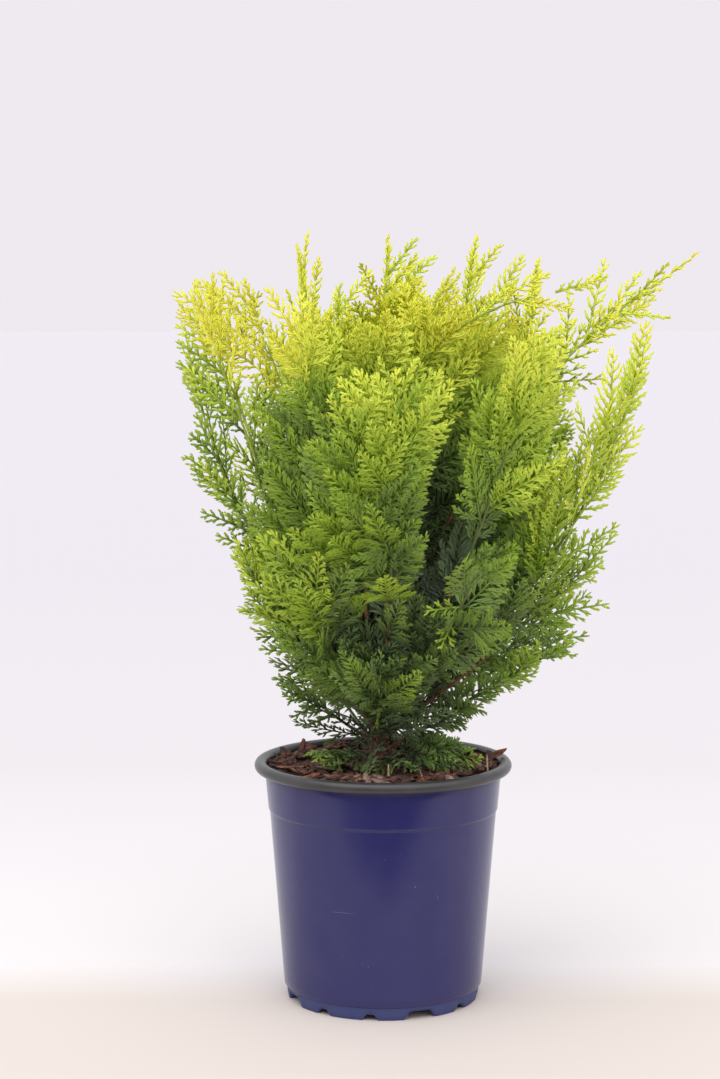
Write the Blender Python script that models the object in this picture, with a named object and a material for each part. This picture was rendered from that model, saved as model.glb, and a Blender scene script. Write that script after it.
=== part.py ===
"""A young golden Lawson cypress in its round plastic nursery pot, as separate solids.

Metres, +Z up. The origin is on the pot's axis, on the flat underside of its base. The front of
the plant faces -Y, and +X is to the right of that front view. Azimuths turn from +X (right)
through +Y (back): 0 is right, 90 back, 180 left and 270 front.
"""

import math
import random
from collections import namedtuple
from itertools import product

import bmesh
import bpy
import numpy as np
from mathutils import Vector
from mathutils.bvhtree import BVHTree

MM = 0.001
UP = Vector((0.0, 0.0, 1.0))
FRONT = Vector((0.0, -1.0, 0.0))
SEED = 41
FIT_GAP = 0.3 * MM

# Pot
POT_SIDES = 36
POT_HEIGHT = 155 * MM
RIM_RADIUS = 83 * MM
RIM_HEIGHT = 7.2 * MM
WALL = 1.6 * MM
WALL_TOP_RADIUS = 76.2 * MM
LEDGE_HEIGHT = 123 * MM
LEDGE_RADIUS = 73.2 * MM
LEDGE_STEP = 0.9 * MM
BODY_FOOT_RADIUS = 64 * MM
FOOT_RADIUS = 62.6 * MM
FOOT_WALL = 4 * MM
FOOT_HEIGHT = 8 * MM
FLOOR_UNDER = 5.5 * MM
FLOOR_TOP = 8.5 * MM
PAD_RADIUS = 18 * MM
NOTCH_COUNT = 12
FIRST_NOTCH = -68
WIDE_NOTCH_EVERY = 3
WIDE_NOTCH = (18 * MM, 5.2 * MM)
SMALL_NOTCH = (7 * MM, 3.4 * MM)

# Soil
SOIL_TOP = 146.5 * MM
SOIL_BUMP = 1.6 * MM
SOIL_EDGE_DROP = 2.5 * MM
SOIL_RINGS = (0.74, 0.46)
TRUNK_SEAT_RADIUS = 13 * MM

# Trunk
TRUNK_SIDES = 9
TRUNK_RINGS = 13
TRUNK_CROWDING = 1.8
TRUNK_FOOT = (-2 * MM, 3 * MM)
TRUNK_FOOT_Z = SOIL_TOP + FIT_GAP
TRUNK_TOP_Z = 400 * MM
TRUNK_SWAY = -6 * MM
TRUNK_LEAN_BACK = 15 * MM
TRUNK_RADIUS = 5.6 * MM
TRUNK_TIP_RADIUS = 1.3 * MM
TRUNK_TAPER = 1.3
FLARE = 3.4 * MM
FLARE_HEIGHT = 4 * MM

# Limbs: each is a bare bough from the trunk and, beyond it, the stem of one mass of foliage.
# A mass with no bough starts at the trunk. Lengths are in millimetres and angles in degrees.
# out_share above 0.5 spreads first and then rises; below 0.5 it rises first and then arches out.
Limb = namedtuple("Limb", "name azimuth reach tip fork out_share bare frond fronds tint")
LIMBS = (
    Limb("top", 80, 20, 491, None, 0.50, 0.00, 54, 8, "lime"),
    Limb("top_left", 190, 54, 486, 232, 0.60, 0.34, 56, 8, "lime"),
    Limb("top_right", 29, 70, 493, 226, 0.62, 0.34, 60, 8, "lime"),
    Limb("crown_right", 350, 170, 428, 188, 0.72, 0.26, 70, 10, "lime"),
    Limb("crown_arching", 3, 203, 479, 204, 0.30, 0.40, 50, 8, "lime"),
    Limb("crown_right_back", 36, 132, 472, 193, 0.62, 0.34, 74, 9, "lime"),
    Limb("crown_back", 80, 108, 474, 204, 0.66, 0.34, 74, 9, "lime"),
    Limb("crown_back_left", 122, 108, 470, 192, 0.66, 0.34, 72, 7, "lime"),
    Limb("crown_left_back", 155, 126, 460, 204, 0.64, 0.34, 68, 7, "lime"),
    Limb("crown_left", 182, 130, 430, 192, 0.66, 0.28, 66, 8, "green"),
    Limb("crown_gold", 204, 128, 462, 213, 0.60, 0.30, 64, 8, "gold"),
    Limb("crown_front_left", 232, 84, 452, 200, 0.64, 0.30, 66, 9, "lime"),
    Limb("crown_front", 275, 94, 408, 176, 0.70, 0.20, 68, 11, "olive"),
    Limb("crown_front_right", 322, 116, 430, 196, 0.68, 0.28, 68, 9, "lime"),
    Limb("middle_right", 352, 150, 304, 172, 0.56, 0.26, 66, 8, "green"),
    Limb("middle_back_right", 48, 124, 318, 181, 0.62, 0.30, 66, 7, "green"),
    Limb("middle_back", 95, 116, 312, 186, 0.62, 0.30, 66, 7, "green"),
    Limb("middle_back_left", 140, 104, 314, 179, 0.62, 0.30, 66, 7, "green"),
    Limb("middle_left", 194, 98, 300, 180, 0.60, 0.24, 60, 7, "green"),
    Limb("middle_front_left", 233, 92, 308, 184, 0.64, 0.22, 64, 8, "green"),
    Limb("middle_front_right", 310, 98, 304, 183, 0.64, 0.22, 64, 8, "green"),
    Limb("lower_right", 344, 126, 238, 161, 0.50, 0.00, 56, 7, "deep"),
    Limb("lower_back_right", 40, 92, 222, 166, 0.54, 0.00, 54, 6, "deep"),
    Limb("lower_back_left", 126, 84, 218, 165, 0.54, 0.00, 54, 6, "deep"),
    Limb("lower_left", 187, 64, 210, 167, 0.54, 0.00, 46, 6, "deep"),
    Limb("lower_front", 268, 70, 234, 164, 0.62, 0.00, 60, 8, "deep"),
    Limb("skirt_left", 214, 56, 165, 158, 0.30, 0.00, 34, 4, "deep"),
    Limb("skirt_front", 286, 56, 162, 156, 0.30, 0.00, 34, 4, "deep"),
    Limb("skirt_right", 322, 72, 170, 157, 0.30, 0.00, 38, 4, "deep"),
    Limb("skirt_back", 85, 62, 172, 157, 0.30, 0.00, 34, 3, "deep"),
)
BOUGH_SIDES = 5
BOUGH_RINGS = 5
BOUGH_RADIUS = 2.2 * MM
BOUGH_END_RADIUS = 1.5 * MM
STEM_SIDES = 3
STEM_RINGS = 4
STEM_RADIUS = 1.7 * MM
STEM_TIP_RADIUS = 1.1 * MM
STEM_SHARE = 0.86
TRUNK_GAP = 0.45 * MM

# Fronds: flat toothed sprays, each a stand-in for two or three of the real, finer ones
GOLDEN_TURN = math.radians(137.5)
BLADE = 1.0 * MM
FROND_SLENDER = 0.32
LEADER_SLENDER = 0.20
RIB_HALF_WIDTH = 1.3 * MM
ROOT_HALF_WIDTH = 0.6 * MM
TOOTH_FORWARD = 0.85
FIRST_TOOTH = 0.12
TOOTHED_SHARE = 0.66
NOTCH_OF_TOOTH = 0.1
SHORT_FROND = 49 * MM
LEADER_SUNK = 0.03
SPREAD_LOW = math.radians(62)
SPREAD_HIGH = math.radians(34)
SPREAD_STRAY = (-0.12, 0.12)
LENGTH_STRAY = (0.88, 1.1)
LOWEST_LENGTH = 1.05
LENGTH_LOSS = 0.3
FRONT_FACING = 0.8
RADIAL_FACING = 0.6
OUTWARD_TILT = 0.3
FACE_JITTER = 0.35
LEVEL_FACING = 1.6
LEVEL_SPREAD = 0.85
LEVEL_BELOW = 230 * MM
TURNS_TRIED = tuple(math.radians(a) for a in (0, 28, -28, 60, -60))
CLOSINGS_TRIED = (1.0, 0.72, 0.5)
LENGTHS_TRIED = (1.0, 0.82, 0.66, 0.52)
SPACE_MARGIN = 1.3 * MM
LIMB_MARGIN = 0.8 * MM
POT_MARGIN = 1.5 * MM
FREE_FROM = 0.10
SAMPLE = 3.0 * MM

# The crown's outline: height, then how far it reaches to the left, to the right and to front and back
CROWN = (
    (150, 56, 70, 66),
    (185, 62, 78, 76),
    (205, 70, 98, 86),
    (232, 80, 140, 100),
    (256, 92, 150, 112),
    (290, 102, 152, 122),
    (313, 118, 156, 126),
    (350, 128, 160, 130),
    (400, 132, 170, 132),
    (440, 136, 184, 130),
    (470, 132, 205, 118),
    (495, 80, 205, 90),
)
SPRAY_TOP = 480 * MM

TINTS = {
    "gold": (0.55, 0.55, 0.03),
    "lime": (0.36, 0.48, 0.04),
    "olive": (0.22, 0.31, 0.03),
    "green": (0.11, 0.22, 0.03),
    "deep": (0.04, 0.10, 0.03),
}


def clear_scene():
    for thing in list(bpy.data.objects):
        bpy.data.objects.remove(thing)


def material(name, colour, roughness):
    made = bpy.data.materials.new(name)
    made.use_nodes = True
    shader = made.node_tree.nodes["Principled BSDF"]
    shader.inputs["Base Color"].default_value = (*colour, 1.0)
    shader.inputs["Roughness"].default_value = roughness
    shader.inputs["Metallic"].default_value = 0.0
    return made


def mesh_object(name, points, faces, finish, smooth=False):
    mesh = bpy.data.meshes.new(name)
    mesh.from_pydata([tuple(p) for p in points], [], faces)
    mesh.materials.append(finish)
    if smooth:
        mesh.shade_smooth()
        mesh.set_sharp_from_angle(angle=math.radians(30))
    made = bpy.data.objects.new(name, mesh)
    bpy.context.scene.collection.objects.link(made)
    return made


def applied(thing):
    """The object with its modifiers made part of its mesh."""
    graph = bpy.context.evaluated_depsgraph_get()
    mesh = bpy.data.meshes.new_from_object(thing.evaluated_get(graph))
    thing.modifiers.clear()
    thing.data = mesh
    return thing


def round_direction(azimuth):
    return Vector((math.cos(azimuth), math.sin(azimuth), 0.0))


def turned(name, profile, finish, closed_ring):
    """A solid turned from (radius, height) points, counter-clockwise with the axis on the left.
    A profile that isn't a closed ring starts and ends on the axis."""
    points, faces = [], []
    rings = []
    for radius, height in profile:
        if radius == 0:
            rings.append([len(points)] * POT_SIDES)
            points.append((0.0, 0.0, height))
            continue
        rings.append(list(range(len(points), len(points) + POT_SIDES)))
        for side in range(POT_SIDES):
            way = round_direction(math.tau * side / POT_SIDES)
            points.append((way.x * radius, way.y * radius, height))
    pairs = list(zip(rings, rings[1:]))
    if closed_ring:
        pairs.append((rings[-1], rings[0]))
    for low, high in pairs:
        for side in range(POT_SIDES):
            after = (side + 1) % POT_SIDES
            corners = [low[side], low[after], high[after], high[side]]
            face = list(dict.fromkeys(corners))
            if len(face) > 2:
                faces.append(face)
    return mesh_object(name, points, faces, finish, smooth=True)


def notch_cutters(finish):
    """Blocks that cut the drainage notches out of the foot, one wide for every two small."""
    cutters = []
    for number in range(NOTCH_COUNT):
        wide = number % WIDE_NOTCH_EVERY == 0
        width, depth = WIDE_NOTCH if wide else SMALL_NOTCH
        azimuth = math.radians(FIRST_NOTCH + number * 360 / NOTCH_COUNT)
        along, across = round_direction(azimuth), round_direction(azimuth + math.pi / 2)
        section = (
            (-width / 2 - depth, -depth),
            (width / 2 + depth, -depth),
            (width / 2 - depth / 2, depth),
            (-width / 2 + depth / 2, depth),
        )
        inner, outer = FOOT_RADIUS - 3 * FOOT_WALL, FOOT_RADIUS + FOOT_WALL
        points = [
            along * radius + across * side + UP * height
            for radius in (inner, outer)
            for side, height in section
        ]
        faces = [(3, 2, 1, 0), (4, 5, 6, 7)]
        faces += [(k, (k + 1) % 4, (k + 1) % 4 + 4, k + 4) for k in range(4)]
        cutters.append(mesh_object(f"notch_{number}", points, faces, finish))
    return cutters


def combine(base, others, operation, solver):
    """base joined with, or cut by, the other objects in one Boolean; the others are then removed."""
    group = bpy.data.collections.new(base.name + "_group")
    for other in others:
        group.objects.link(other)
    boolean = base.modifiers.new(operation.lower(), "BOOLEAN")
    boolean.operand_type = "COLLECTION"
    boolean.collection = group
    boolean.operation = operation
    boolean.solver = solver
    applied(base)
    for other in others:
        bpy.data.objects.remove(other)
    bpy.data.collections.remove(group)
    return base


def build_pot():
    blue = material("pot_blue", (0.030, 0.033, 0.140), 0.28)
    wall_top = POT_HEIGHT - RIM_HEIGHT - FIT_GAP
    profile = (
        (0, 0),
        (PAD_RADIUS, 0),
        (PAD_RADIUS + 2 * MM, FLOOR_UNDER),
        (FOOT_RADIUS - FOOT_WALL - 2 * MM, FLOOR_UNDER),
        (FOOT_RADIUS - FOOT_WALL, 0),
        (FOOT_RADIUS - MM, 0),
        (FOOT_RADIUS, FOOT_HEIGHT),
        (BODY_FOOT_RADIUS, FOOT_HEIGHT + 0.6 * MM),
        (LEDGE_RADIUS, LEDGE_HEIGHT),
        (LEDGE_RADIUS + LEDGE_STEP, LEDGE_HEIGHT + LEDGE_STEP),
        (WALL_TOP_RADIUS, wall_top),
        (WALL_TOP_RADIUS - WALL, wall_top),
        (LEDGE_RADIUS - WALL, LEDGE_HEIGHT),
        (BODY_FOOT_RADIUS - WALL, FLOOR_TOP),
        (0, FLOOR_TOP),
    )
    pot = turned("pot", profile, blue, closed_ring=False)
    return combine(pot, notch_cutters(blue), "DIFFERENCE", "EXACT")


def build_rim():
    grey = material("rim_grey", (0.075, 0.076, 0.082), 0.45)
    low = POT_HEIGHT - RIM_HEIGHT
    inner = WALL_TOP_RADIUS - WALL + 0.2 * MM
    profile = (
        (inner, low),
        (RIM_RADIUS - 2.6 * MM, low),
        (RIM_RADIUS - 0.7 * MM, low + 1.4 * MM),
        (RIM_RADIUS, low + 3.5 * MM),
        (RIM_RADIUS - 0.7 * MM, low + 5.6 * MM),
        (RIM_RADIUS - 2.8 * MM, POT_HEIGHT),
        (inner + 2.2 * MM, POT_HEIGHT - 0.2 * MM),
        (inner + 0.3 * MM, POT_HEIGHT - 2 * MM),
    )
    return turned("pot_rim", profile, grey, closed_ring=True)


def inner_radius(height):
    """Radius of the pot's inside at a height above the floor."""
    if height < LEDGE_HEIGHT:
        share = (height - FLOOR_TOP) / (LEDGE_HEIGHT - FLOOR_TOP)
        return BODY_FOOT_RADIUS - WALL + share * (LEDGE_RADIUS - BODY_FOOT_RADIUS)
    wall_top = POT_HEIGHT - RIM_HEIGHT
    share = (height - LEDGE_HEIGHT) / (wall_top - LEDGE_HEIGHT)
    return LEDGE_RADIUS - WALL + share * (WALL_TOP_RADIUS - LEDGE_RADIUS)


def build_soil():
    """The root ball and bark mulch, up to just under the rim, with a level seat for the trunk."""
    brown = material("soil_brown", (0.045, 0.022, 0.014), 0.95)
    fit = 0.5 * MM
    edge = SOIL_TOP - SOIL_EDGE_DROP
    bottom = FLOOR_TOP + fit
    profile = [
        (0, bottom),
        (inner_radius(FLOOR_TOP) - 2 * WALL, bottom),
        (inner_radius(LEDGE_HEIGHT) - fit, LEDGE_HEIGHT),
        (inner_radius(edge) - fit, edge),
    ]
    profile += [(inner_radius(edge) * share - fit, SOIL_TOP) for share in SOIL_RINGS]
    profile += [(TRUNK_SEAT_RADIUS, SOIL_TOP), (0, SOIL_TOP)]
    soil = turned("soil", profile, brown, closed_ring=False)
    chance = random.Random(SEED)
    for vertex in soil.data.vertices:
        radius = vertex.co.xy.length
        if vertex.co.z > edge + 0.1 * MM and radius > TRUNK_SEAT_RADIUS + MM:
            vertex.co.z += chance.uniform(-1.0, 1.0) * SOIL_BUMP
    return soil


def trunk_axis(height):
    share = (height - TRUNK_FOOT_Z) / (TRUNK_TOP_Z - TRUNK_FOOT_Z)
    return Vector(
        (
            TRUNK_FOOT[0] + TRUNK_SWAY * math.sin(math.pi * share),
            TRUNK_FOOT[1] + TRUNK_LEAN_BACK * share,
            height,
        )
    )


def trunk_rings():
    """Heights and radii of the trunk's rings, which crowd towards its foot, where it flares."""
    shares_up = (np.arange(TRUNK_RINGS) / (TRUNK_RINGS - 1)) ** TRUNK_CROWDING
    above = shares_up * (TRUNK_TOP_Z - TRUNK_FOOT_Z)
    taper = (TRUNK_RADIUS - TRUNK_TIP_RADIUS) * (1 - shares_up) ** TRUNK_TAPER
    return TRUNK_FOOT_Z + above, TRUNK_TIP_RADIUS + taper + FLARE * np.exp(-above / FLARE_HEIGHT)


def trunk_radius(height):
    return float(np.interp(height, *trunk_rings()))


def tube(name, centres, radii, sides, finish, ends):
    """A tapering limb through the centres. ends are the normals of its two flat caps."""
    points, faces = [], []
    side_way = None
    for k, centre in enumerate(centres):
        before, after = centres[max(k - 1, 0)], centres[min(k + 1, len(centres) - 1)]
        along = (after - before).normalized()
        if side_way is None:
            side_way = along.orthogonal()
        side_way = (side_way - along * side_way.dot(along)).normalized()
        across = along.cross(side_way)
        for side in range(sides):
            angle = math.tau * side / sides
            offset = side_way * math.cos(angle) + across * math.sin(angle)
            point = centre + offset * radii[k]
            if k in (0, len(centres) - 1):
                cap = ends[0] if k == 0 else ends[1]
                point += along * ((centre - point).dot(cap) / along.dot(cap))
            points.append(point)
    for ring in range(len(centres) - 1):
        for side in range(sides):
            after = (side + 1) % sides
            low, high = ring * sides, (ring + 1) * sides
            faces.append((low + side, low + after, high + after, high + side))
    faces.append(tuple(reversed(range(sides))))
    faces.append(tuple(range((len(centres) - 1) * sides, len(centres) * sides)))
    return mesh_object(name, points, faces, finish, smooth=sides > STEM_SIDES)


def build_trunk(bark):
    heights, radii = trunk_rings()
    centres = [trunk_axis(height) for height in heights]
    return tube("trunk", centres, radii, TRUNK_SIDES, bark, ends=(UP, UP))


def limb_ends(limb):
    """The limb's first, middle and last control points."""
    way = round_direction(math.radians(limb.azimuth))
    if limb.fork is None:
        first = trunk_axis(TRUNK_TOP_Z) + UP * FIT_GAP
    else:
        height = limb.fork * MM
        first = trunk_axis(height) + way * (trunk_radius(height) + TRUNK_GAP)
    last = way * limb.reach * MM + UP * limb.tip * MM
    gain = last - first
    middle = first + Vector((gain.x, gain.y, 0)) * limb.out_share + UP * gain.z * (1 - limb.out_share)
    return first, middle, last


def limb_point(limb, share):
    first, middle, last = limb_ends(limb)
    return first * (1 - share) ** 2 + middle * 2 * share * (1 - share) + last * share**2


def limb_tangent(limb, share):
    first, middle, last = limb_ends(limb)
    return ((middle - first) * (1 - share) + (last - middle) * share).normalized()


def shares(start, end, count):
    return [start + (end - start) * k / (count - 1) for k in range(count)]


def build_bough(limb, bark):
    along = shares(0, limb.bare, BOUGH_RINGS)
    centres = [limb_point(limb, s) for s in along]
    radii = [BOUGH_RADIUS + (BOUGH_END_RADIUS - BOUGH_RADIUS) * s / limb.bare for s in along]
    caps = (round_direction(math.radians(limb.azimuth)), limb_tangent(limb, limb.bare))
    return tube("bough_" + limb.name, centres, radii, BOUGH_SIDES, bark, ends=caps)


def stem_start(limb):
    """Where along the limb the foliage's stem begins: just past the end of the bare bough."""
    if limb.bare == 0:
        return 0.0
    step = (limb_point(limb, limb.bare + 0.01) - limb_point(limb, limb.bare)).length
    return limb.bare + 0.01 * FIT_GAP * 1.3 / step


def build_stem(limb, finish):
    start = stem_start(limb)
    along = shares(start, STEM_SHARE, STEM_RINGS)
    centres = [limb_point(limb, s) for s in along]
    radii = [
        STEM_RADIUS + (STEM_TIP_RADIUS - STEM_RADIUS) * (s - start) / (STEM_SHARE - start) for s in along
    ]
    at_trunk = limb.bare == 0 and limb.fork is not None
    first_cap = round_direction(math.radians(limb.azimuth)) if at_trunk else limb_tangent(limb, start)
    caps = (first_cap, limb_tangent(limb, STEM_SHARE))
    return tube("foliage_" + limb.name, centres, radii, STEM_SIDES, finish, ends=caps)


Bud = namedtuple("Bud", "share turn spread length slender stray")
Frond = namedtuple("Frond", "foot way face length slender")


def bud_rule(limb):
    """Where one stem bears its fronds, by a seeded rule: round it by the golden turn and shorter upwards.
    The first bud is the leader, which carries the stem on to the limb's own tip."""
    chance = random.Random(f"{SEED} {limb.name}")
    start = stem_start(limb)
    foot = STEM_SHARE - LEADER_SUNK
    reach = (limb_point(limb, 1.0) - limb_point(limb, foot)).length
    buds = [Bud(foot, 0.0, 0.0, reach, LEADER_SLENDER, stray_vector(chance))]
    turn = chance.uniform(0, math.tau)
    for number in range(limb.fronds):
        height = (number + 0.6) / limb.fronds
        turn += GOLDEN_TURN
        spread = SPREAD_LOW + (SPREAD_HIGH - SPREAD_LOW) * height + chance.uniform(*SPREAD_STRAY)
        length = limb.frond * MM * chance.uniform(*LENGTH_STRAY) * (LOWEST_LENGTH - LENGTH_LOSS * height)
        share = start + (STEM_SHARE - start) * height
        buds.append(Bud(share, turn, spread, length, FROND_SLENDER, stray_vector(chance)))
    return buds


def stray_vector(chance):
    return Vector([chance.uniform(-1, 1) for _ in range(3)]) * FACE_JITTER


def grown(limb, bud, turned_by, closing, scale):
    """The frond of a bud, swung round its stem, closed towards it and shortened as asked."""
    foot = limb_point(limb, bud.share)
    if bud.spread == 0:
        way = (limb_point(limb, 1.0) - foot).normalized()
    else:
        along = limb_tangent(limb, bud.share)
        sideways = along.cross(round_direction(math.radians(limb.azimuth))).normalized()
        turn, spread = bud.turn + turned_by, bud.spread * closing
        aside = sideways * math.cos(turn) + along.cross(sideways) * math.sin(turn)
        aside.z *= 1 - LEVEL_SPREAD * levelness(foot.z)
        way = (along * math.cos(spread) + aside.normalized() * math.sin(spread)).normalized()
    return Frond(foot, way, face_of(foot, way, bud.stray), bud.length * scale, bud.slender)


def levelness(height):
    """How level the fronds lie: 1 at the soil, 0 from LEVEL_BELOW upwards."""
    return max(0.0, (LEVEL_BELOW - height) / (LEVEL_BELOW - SOIL_TOP))


def face_of(foot, way, stray):
    """The way a frond's flat face looks: between outwards and the plant's front or back, and square to
    the frond. Low fronds lie more level."""
    outward = Vector((foot.x, foot.y, 0)).normalized() + UP * OUTWARD_TILT
    front = FRONT if foot.y < 0 else -FRONT
    wanted = outward * RADIAL_FACING + front * FRONT_FACING + stray
    wanted += UP * LEVEL_FACING * levelness(foot.z)
    return (wanted - way * wanted.dot(way)).normalized()


def tooth_count(length):
    return 2 if length < SHORT_FROND else 3


def frond_outline(length, slender):
    """Half of a frond's outline, as (along, aside) points from its foot to its tip, with teeth that
    lean forwards. It is widest near its middle, and its rib narrows towards the tip."""
    count = tooth_count(length)
    widest = slender * length
    first, pitch = FIRST_TOOTH * length, TOOTHED_SHARE * length / count
    outline = [(0.0, ROOT_HALF_WIDTH)]
    for tooth in range(count):
        place = (tooth + 0.4) / count
        width = widest * math.sin(math.pi * (0.3 + 0.56 * place))
        root = first + pitch * tooth
        rib = RIB_HALF_WIDTH * (1.25 - 0.5 * place)
        if tooth:
            outline.append((root, rib + NOTCH_OF_TOOTH * width))
        outline.append((root + TOOTH_FORWARD * width, width))
    return outline


def frond_points(frond):
    """The frond's outline in space, all round, on its middle plane."""
    aside = frond.face.cross(frond.way)
    half = frond_outline(frond.length, frond.slender)
    right = [frond.foot + frond.way * a + aside * s for a, s in half]
    left = [frond.foot + frond.way * a - aside * s for a, s in reversed(half)]
    return right + [frond.foot + frond.way * frond.length] + left


def frond_solid(frond, finish, name="frond"):
    ring = frond_points(frond)
    count = len(ring)
    lift = frond.face * BLADE / 2
    points = [p + lift for p in ring] + [p - lift for p in ring]
    faces = [tuple(range(count)), tuple(reversed(range(count, 2 * count)))]
    for k in range(count):
        after = (k + 1) % count
        faces.append((k, k + count, after + count, after))
    return mesh_object(name, points, faces, finish)


def frond_samples(frond):
    """Points spread over the frond, close enough together to stand for all of it."""
    ring = [np.array(p) for p in frond_points(frond)]
    foot = np.array(frond.foot)
    way = np.array(frond.way)
    found = []
    for k, corner in enumerate(ring):
        after = ring[(k + 1) % len(ring)]
        steps = max(2, int(np.linalg.norm(after - corner) / SAMPLE))
        for edge_share in np.linspace(0, 1, steps, endpoint=False):
            edge = corner + (after - corner) * edge_share
            rib = foot + way * (edge - foot).dot(way)
            across = max(2, int(np.linalg.norm(edge - rib) / SAMPLE))
            found += [rib + (edge - rib) * s for s in np.linspace(0, 1, across + 1)]
    return np.array(found)


def distances(points, others):
    """Distance from each point to each of the others."""
    squares = (points**2).sum(axis=1)[:, None] + (others**2).sum(axis=1)[None, :]
    return np.sqrt(np.maximum(squares - 2 * points @ others.T, 0.0))


def in_crown(points):
    """True if all the points are inside the crown's outline."""
    heights, left, right, deep = np.array(CROWN).T * MM
    across = np.where(
        points[:, 0] > 0,
        np.interp(points[:, 2], heights, right),
        np.interp(points[:, 2], heights, left),
    )
    depth = np.interp(points[:, 2], heights, deep)
    return bool(((points[:, 0] / across) ** 2 + (points[:, 1] / depth) ** 2 < 1.0).all())


class Space:
    """Where every limb runs, so that each frond can be kept to its own mass's space and clear of the wood."""

    def __init__(self):
        self.stems = {}
        wood, radii = [], []
        for limb in LIMBS:
            along = shares(stem_start(limb), 1.0, 40)
            self.stems[limb.name] = np.array([limb_point(limb, s) for s in along])
            if limb.bare:
                for share in shares(0, limb.bare, 40):
                    wood.append(limb_point(limb, share))
                    radii.append(BOUGH_RADIUS + (BOUGH_END_RADIUS - BOUGH_RADIUS) * share / limb.bare)
        for height in shares(TRUNK_FOOT_Z, TRUNK_TOP_Z, 120):
            wood.append(trunk_axis(height))
            radii.append(trunk_radius(height))
        self.wood, self.radii = np.array(wood), np.array(radii)

    def holds(self, frond, limb):
        points = frond_samples(frond)
        if over_pot(points):
            return False
        if frond.slender == FROND_SLENDER:
            ceiling = min(limb.tip * MM, SPRAY_TOP)
            if points[:, 2].max() > ceiling or not in_crown(points):
                return False
        own = distances(points, self.stems[limb.name]).min(axis=1)
        others = np.concatenate([s for name, s in self.stems.items() if name != limb.name])
        if (distances(points, others).min(axis=1) - own < SPACE_MARGIN).any():
            return False
        return (distances(points, self.wood) - self.radii).min() > LIMB_MARGIN


def over_pot(points):
    """True if any point is in the pot, its rim or its soil, or too near them."""
    radius = np.hypot(points[:, 0], points[:, 1])
    near_rim = radius > WALL_TOP_RADIUS - 4 * MM
    floor = np.where(near_rim, POT_HEIGHT, SOIL_TOP + SOIL_BUMP) + POT_MARGIN
    return bool(((radius < RIM_RADIUS + POT_MARGIN) & (points[:, 2] < floor)).any())


def blade_tree(frond):
    """A tree for overlap tests of the blade's outer part, a little thicker than it is."""
    ring = frond_points(frond)
    along = [(p - frond.foot).dot(frond.way) for p in ring]
    lift = frond.face * BLADE
    ring = [p for p, a in zip(ring, along) if a > FREE_FROM * frond.length]
    count = len(ring)
    points = [p + lift for p in ring] + [p - lift for p in ring]
    faces = [tuple(range(count)), tuple(range(count, 2 * count))]
    faces += [(k, k + count, (k + 1) % count + count, (k + 1) % count) for k in range(count)]
    return BVHTree.FromPolygons([tuple(p) for p in points], faces)


def placed_fronds(limb, space):
    """The fronds that fit: each is tried whole, then closed up, turned or shortened, or else skipped."""
    placed, trees = [], []
    for bud in bud_rule(limb):
        for scale, closing, turn in product(LENGTHS_TRIED, CLOSINGS_TRIED, TURNS_TRIED):
            tried = grown(limb, bud, turn, closing, scale)
            if not space.holds(tried, limb):
                continue
            tree = blade_tree(tried)
            if any(tree.overlap(other) for other in trees):
                continue
            placed.append(tried)
            trees.append(tree)
            break
    return placed


def is_closed(thing):
    shape = bmesh.new()
    shape.from_mesh(thing.data)
    closed = all(len(edge.link_faces) == 2 for edge in shape.edges)
    shape.free()
    return closed


def build_foliage(limb, space, finish):
    """One mass: its stem and the fronds that fit its space, fused into one solid."""
    fronds = placed_fronds(limb, space)
    for solver in ("EXACT", "MANIFOLD"):
        stem = build_stem(limb, finish)
        blades = [frond_solid(frond, finish) for frond in fronds]
        mass = combine(stem, blades, "UNION", solver)
        if is_closed(mass):
            return mass
        if solver == "EXACT":
            bpy.data.objects.remove(mass)
    return mass


def build_all():
    clear_scene()
    build_pot()
    build_rim()
    build_soil()
    bark = material("bark_brown", (0.105, 0.048, 0.030), 0.85)
    build_trunk(bark)
    for limb in LIMBS:
        if limb.bare:
            build_bough(limb, bark)
    space = Space()
    finishes = {name: material("foliage_" + name, colour, 0.6) for name, colour in TINTS.items()}
    for limb in LIMBS:
        build_foliage(limb, space, finishes[limb.tint])


build_all()
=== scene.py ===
"""Looks of the young golden Lawson cypress in its nursery pot.

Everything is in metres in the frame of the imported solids: +Z up, the origin under the pot's axis, the
front of the plant towards -Y. Azimuths turn from +X (right) through +Y (back).
"""

import math
import random
from collections import namedtuple
from itertools import product

import bpy
import numpy as np
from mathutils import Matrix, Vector, noise
from mathutils.bvhtree import BVHTree


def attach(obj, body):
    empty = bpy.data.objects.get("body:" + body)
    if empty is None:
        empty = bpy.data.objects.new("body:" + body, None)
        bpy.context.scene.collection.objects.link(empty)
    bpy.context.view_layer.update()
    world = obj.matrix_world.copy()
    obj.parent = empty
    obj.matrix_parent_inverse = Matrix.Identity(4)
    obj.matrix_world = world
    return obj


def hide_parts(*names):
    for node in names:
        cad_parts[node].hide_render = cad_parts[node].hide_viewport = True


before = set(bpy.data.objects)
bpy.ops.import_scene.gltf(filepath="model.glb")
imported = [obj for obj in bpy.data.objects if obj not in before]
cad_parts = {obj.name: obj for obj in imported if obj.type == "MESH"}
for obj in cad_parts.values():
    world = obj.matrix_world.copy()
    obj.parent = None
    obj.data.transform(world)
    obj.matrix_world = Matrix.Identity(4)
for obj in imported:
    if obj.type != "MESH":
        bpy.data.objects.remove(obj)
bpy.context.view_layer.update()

MM = 0.001
UP = Vector((0.0, 0.0, 1.0))
FRONT = Vector((0.0, -1.0, 0.0))
SEED = 41
FIT_GAP = 0.3 * MM

# Photograph: its camera, solved from the ruler's marks and the pot's rims
CAMERA_PLACE = (-0.0149, -1.481, 0.4405)
CAMERA_PITCH = math.radians(5.53)
CAMERA_LENS = 77.5

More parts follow.
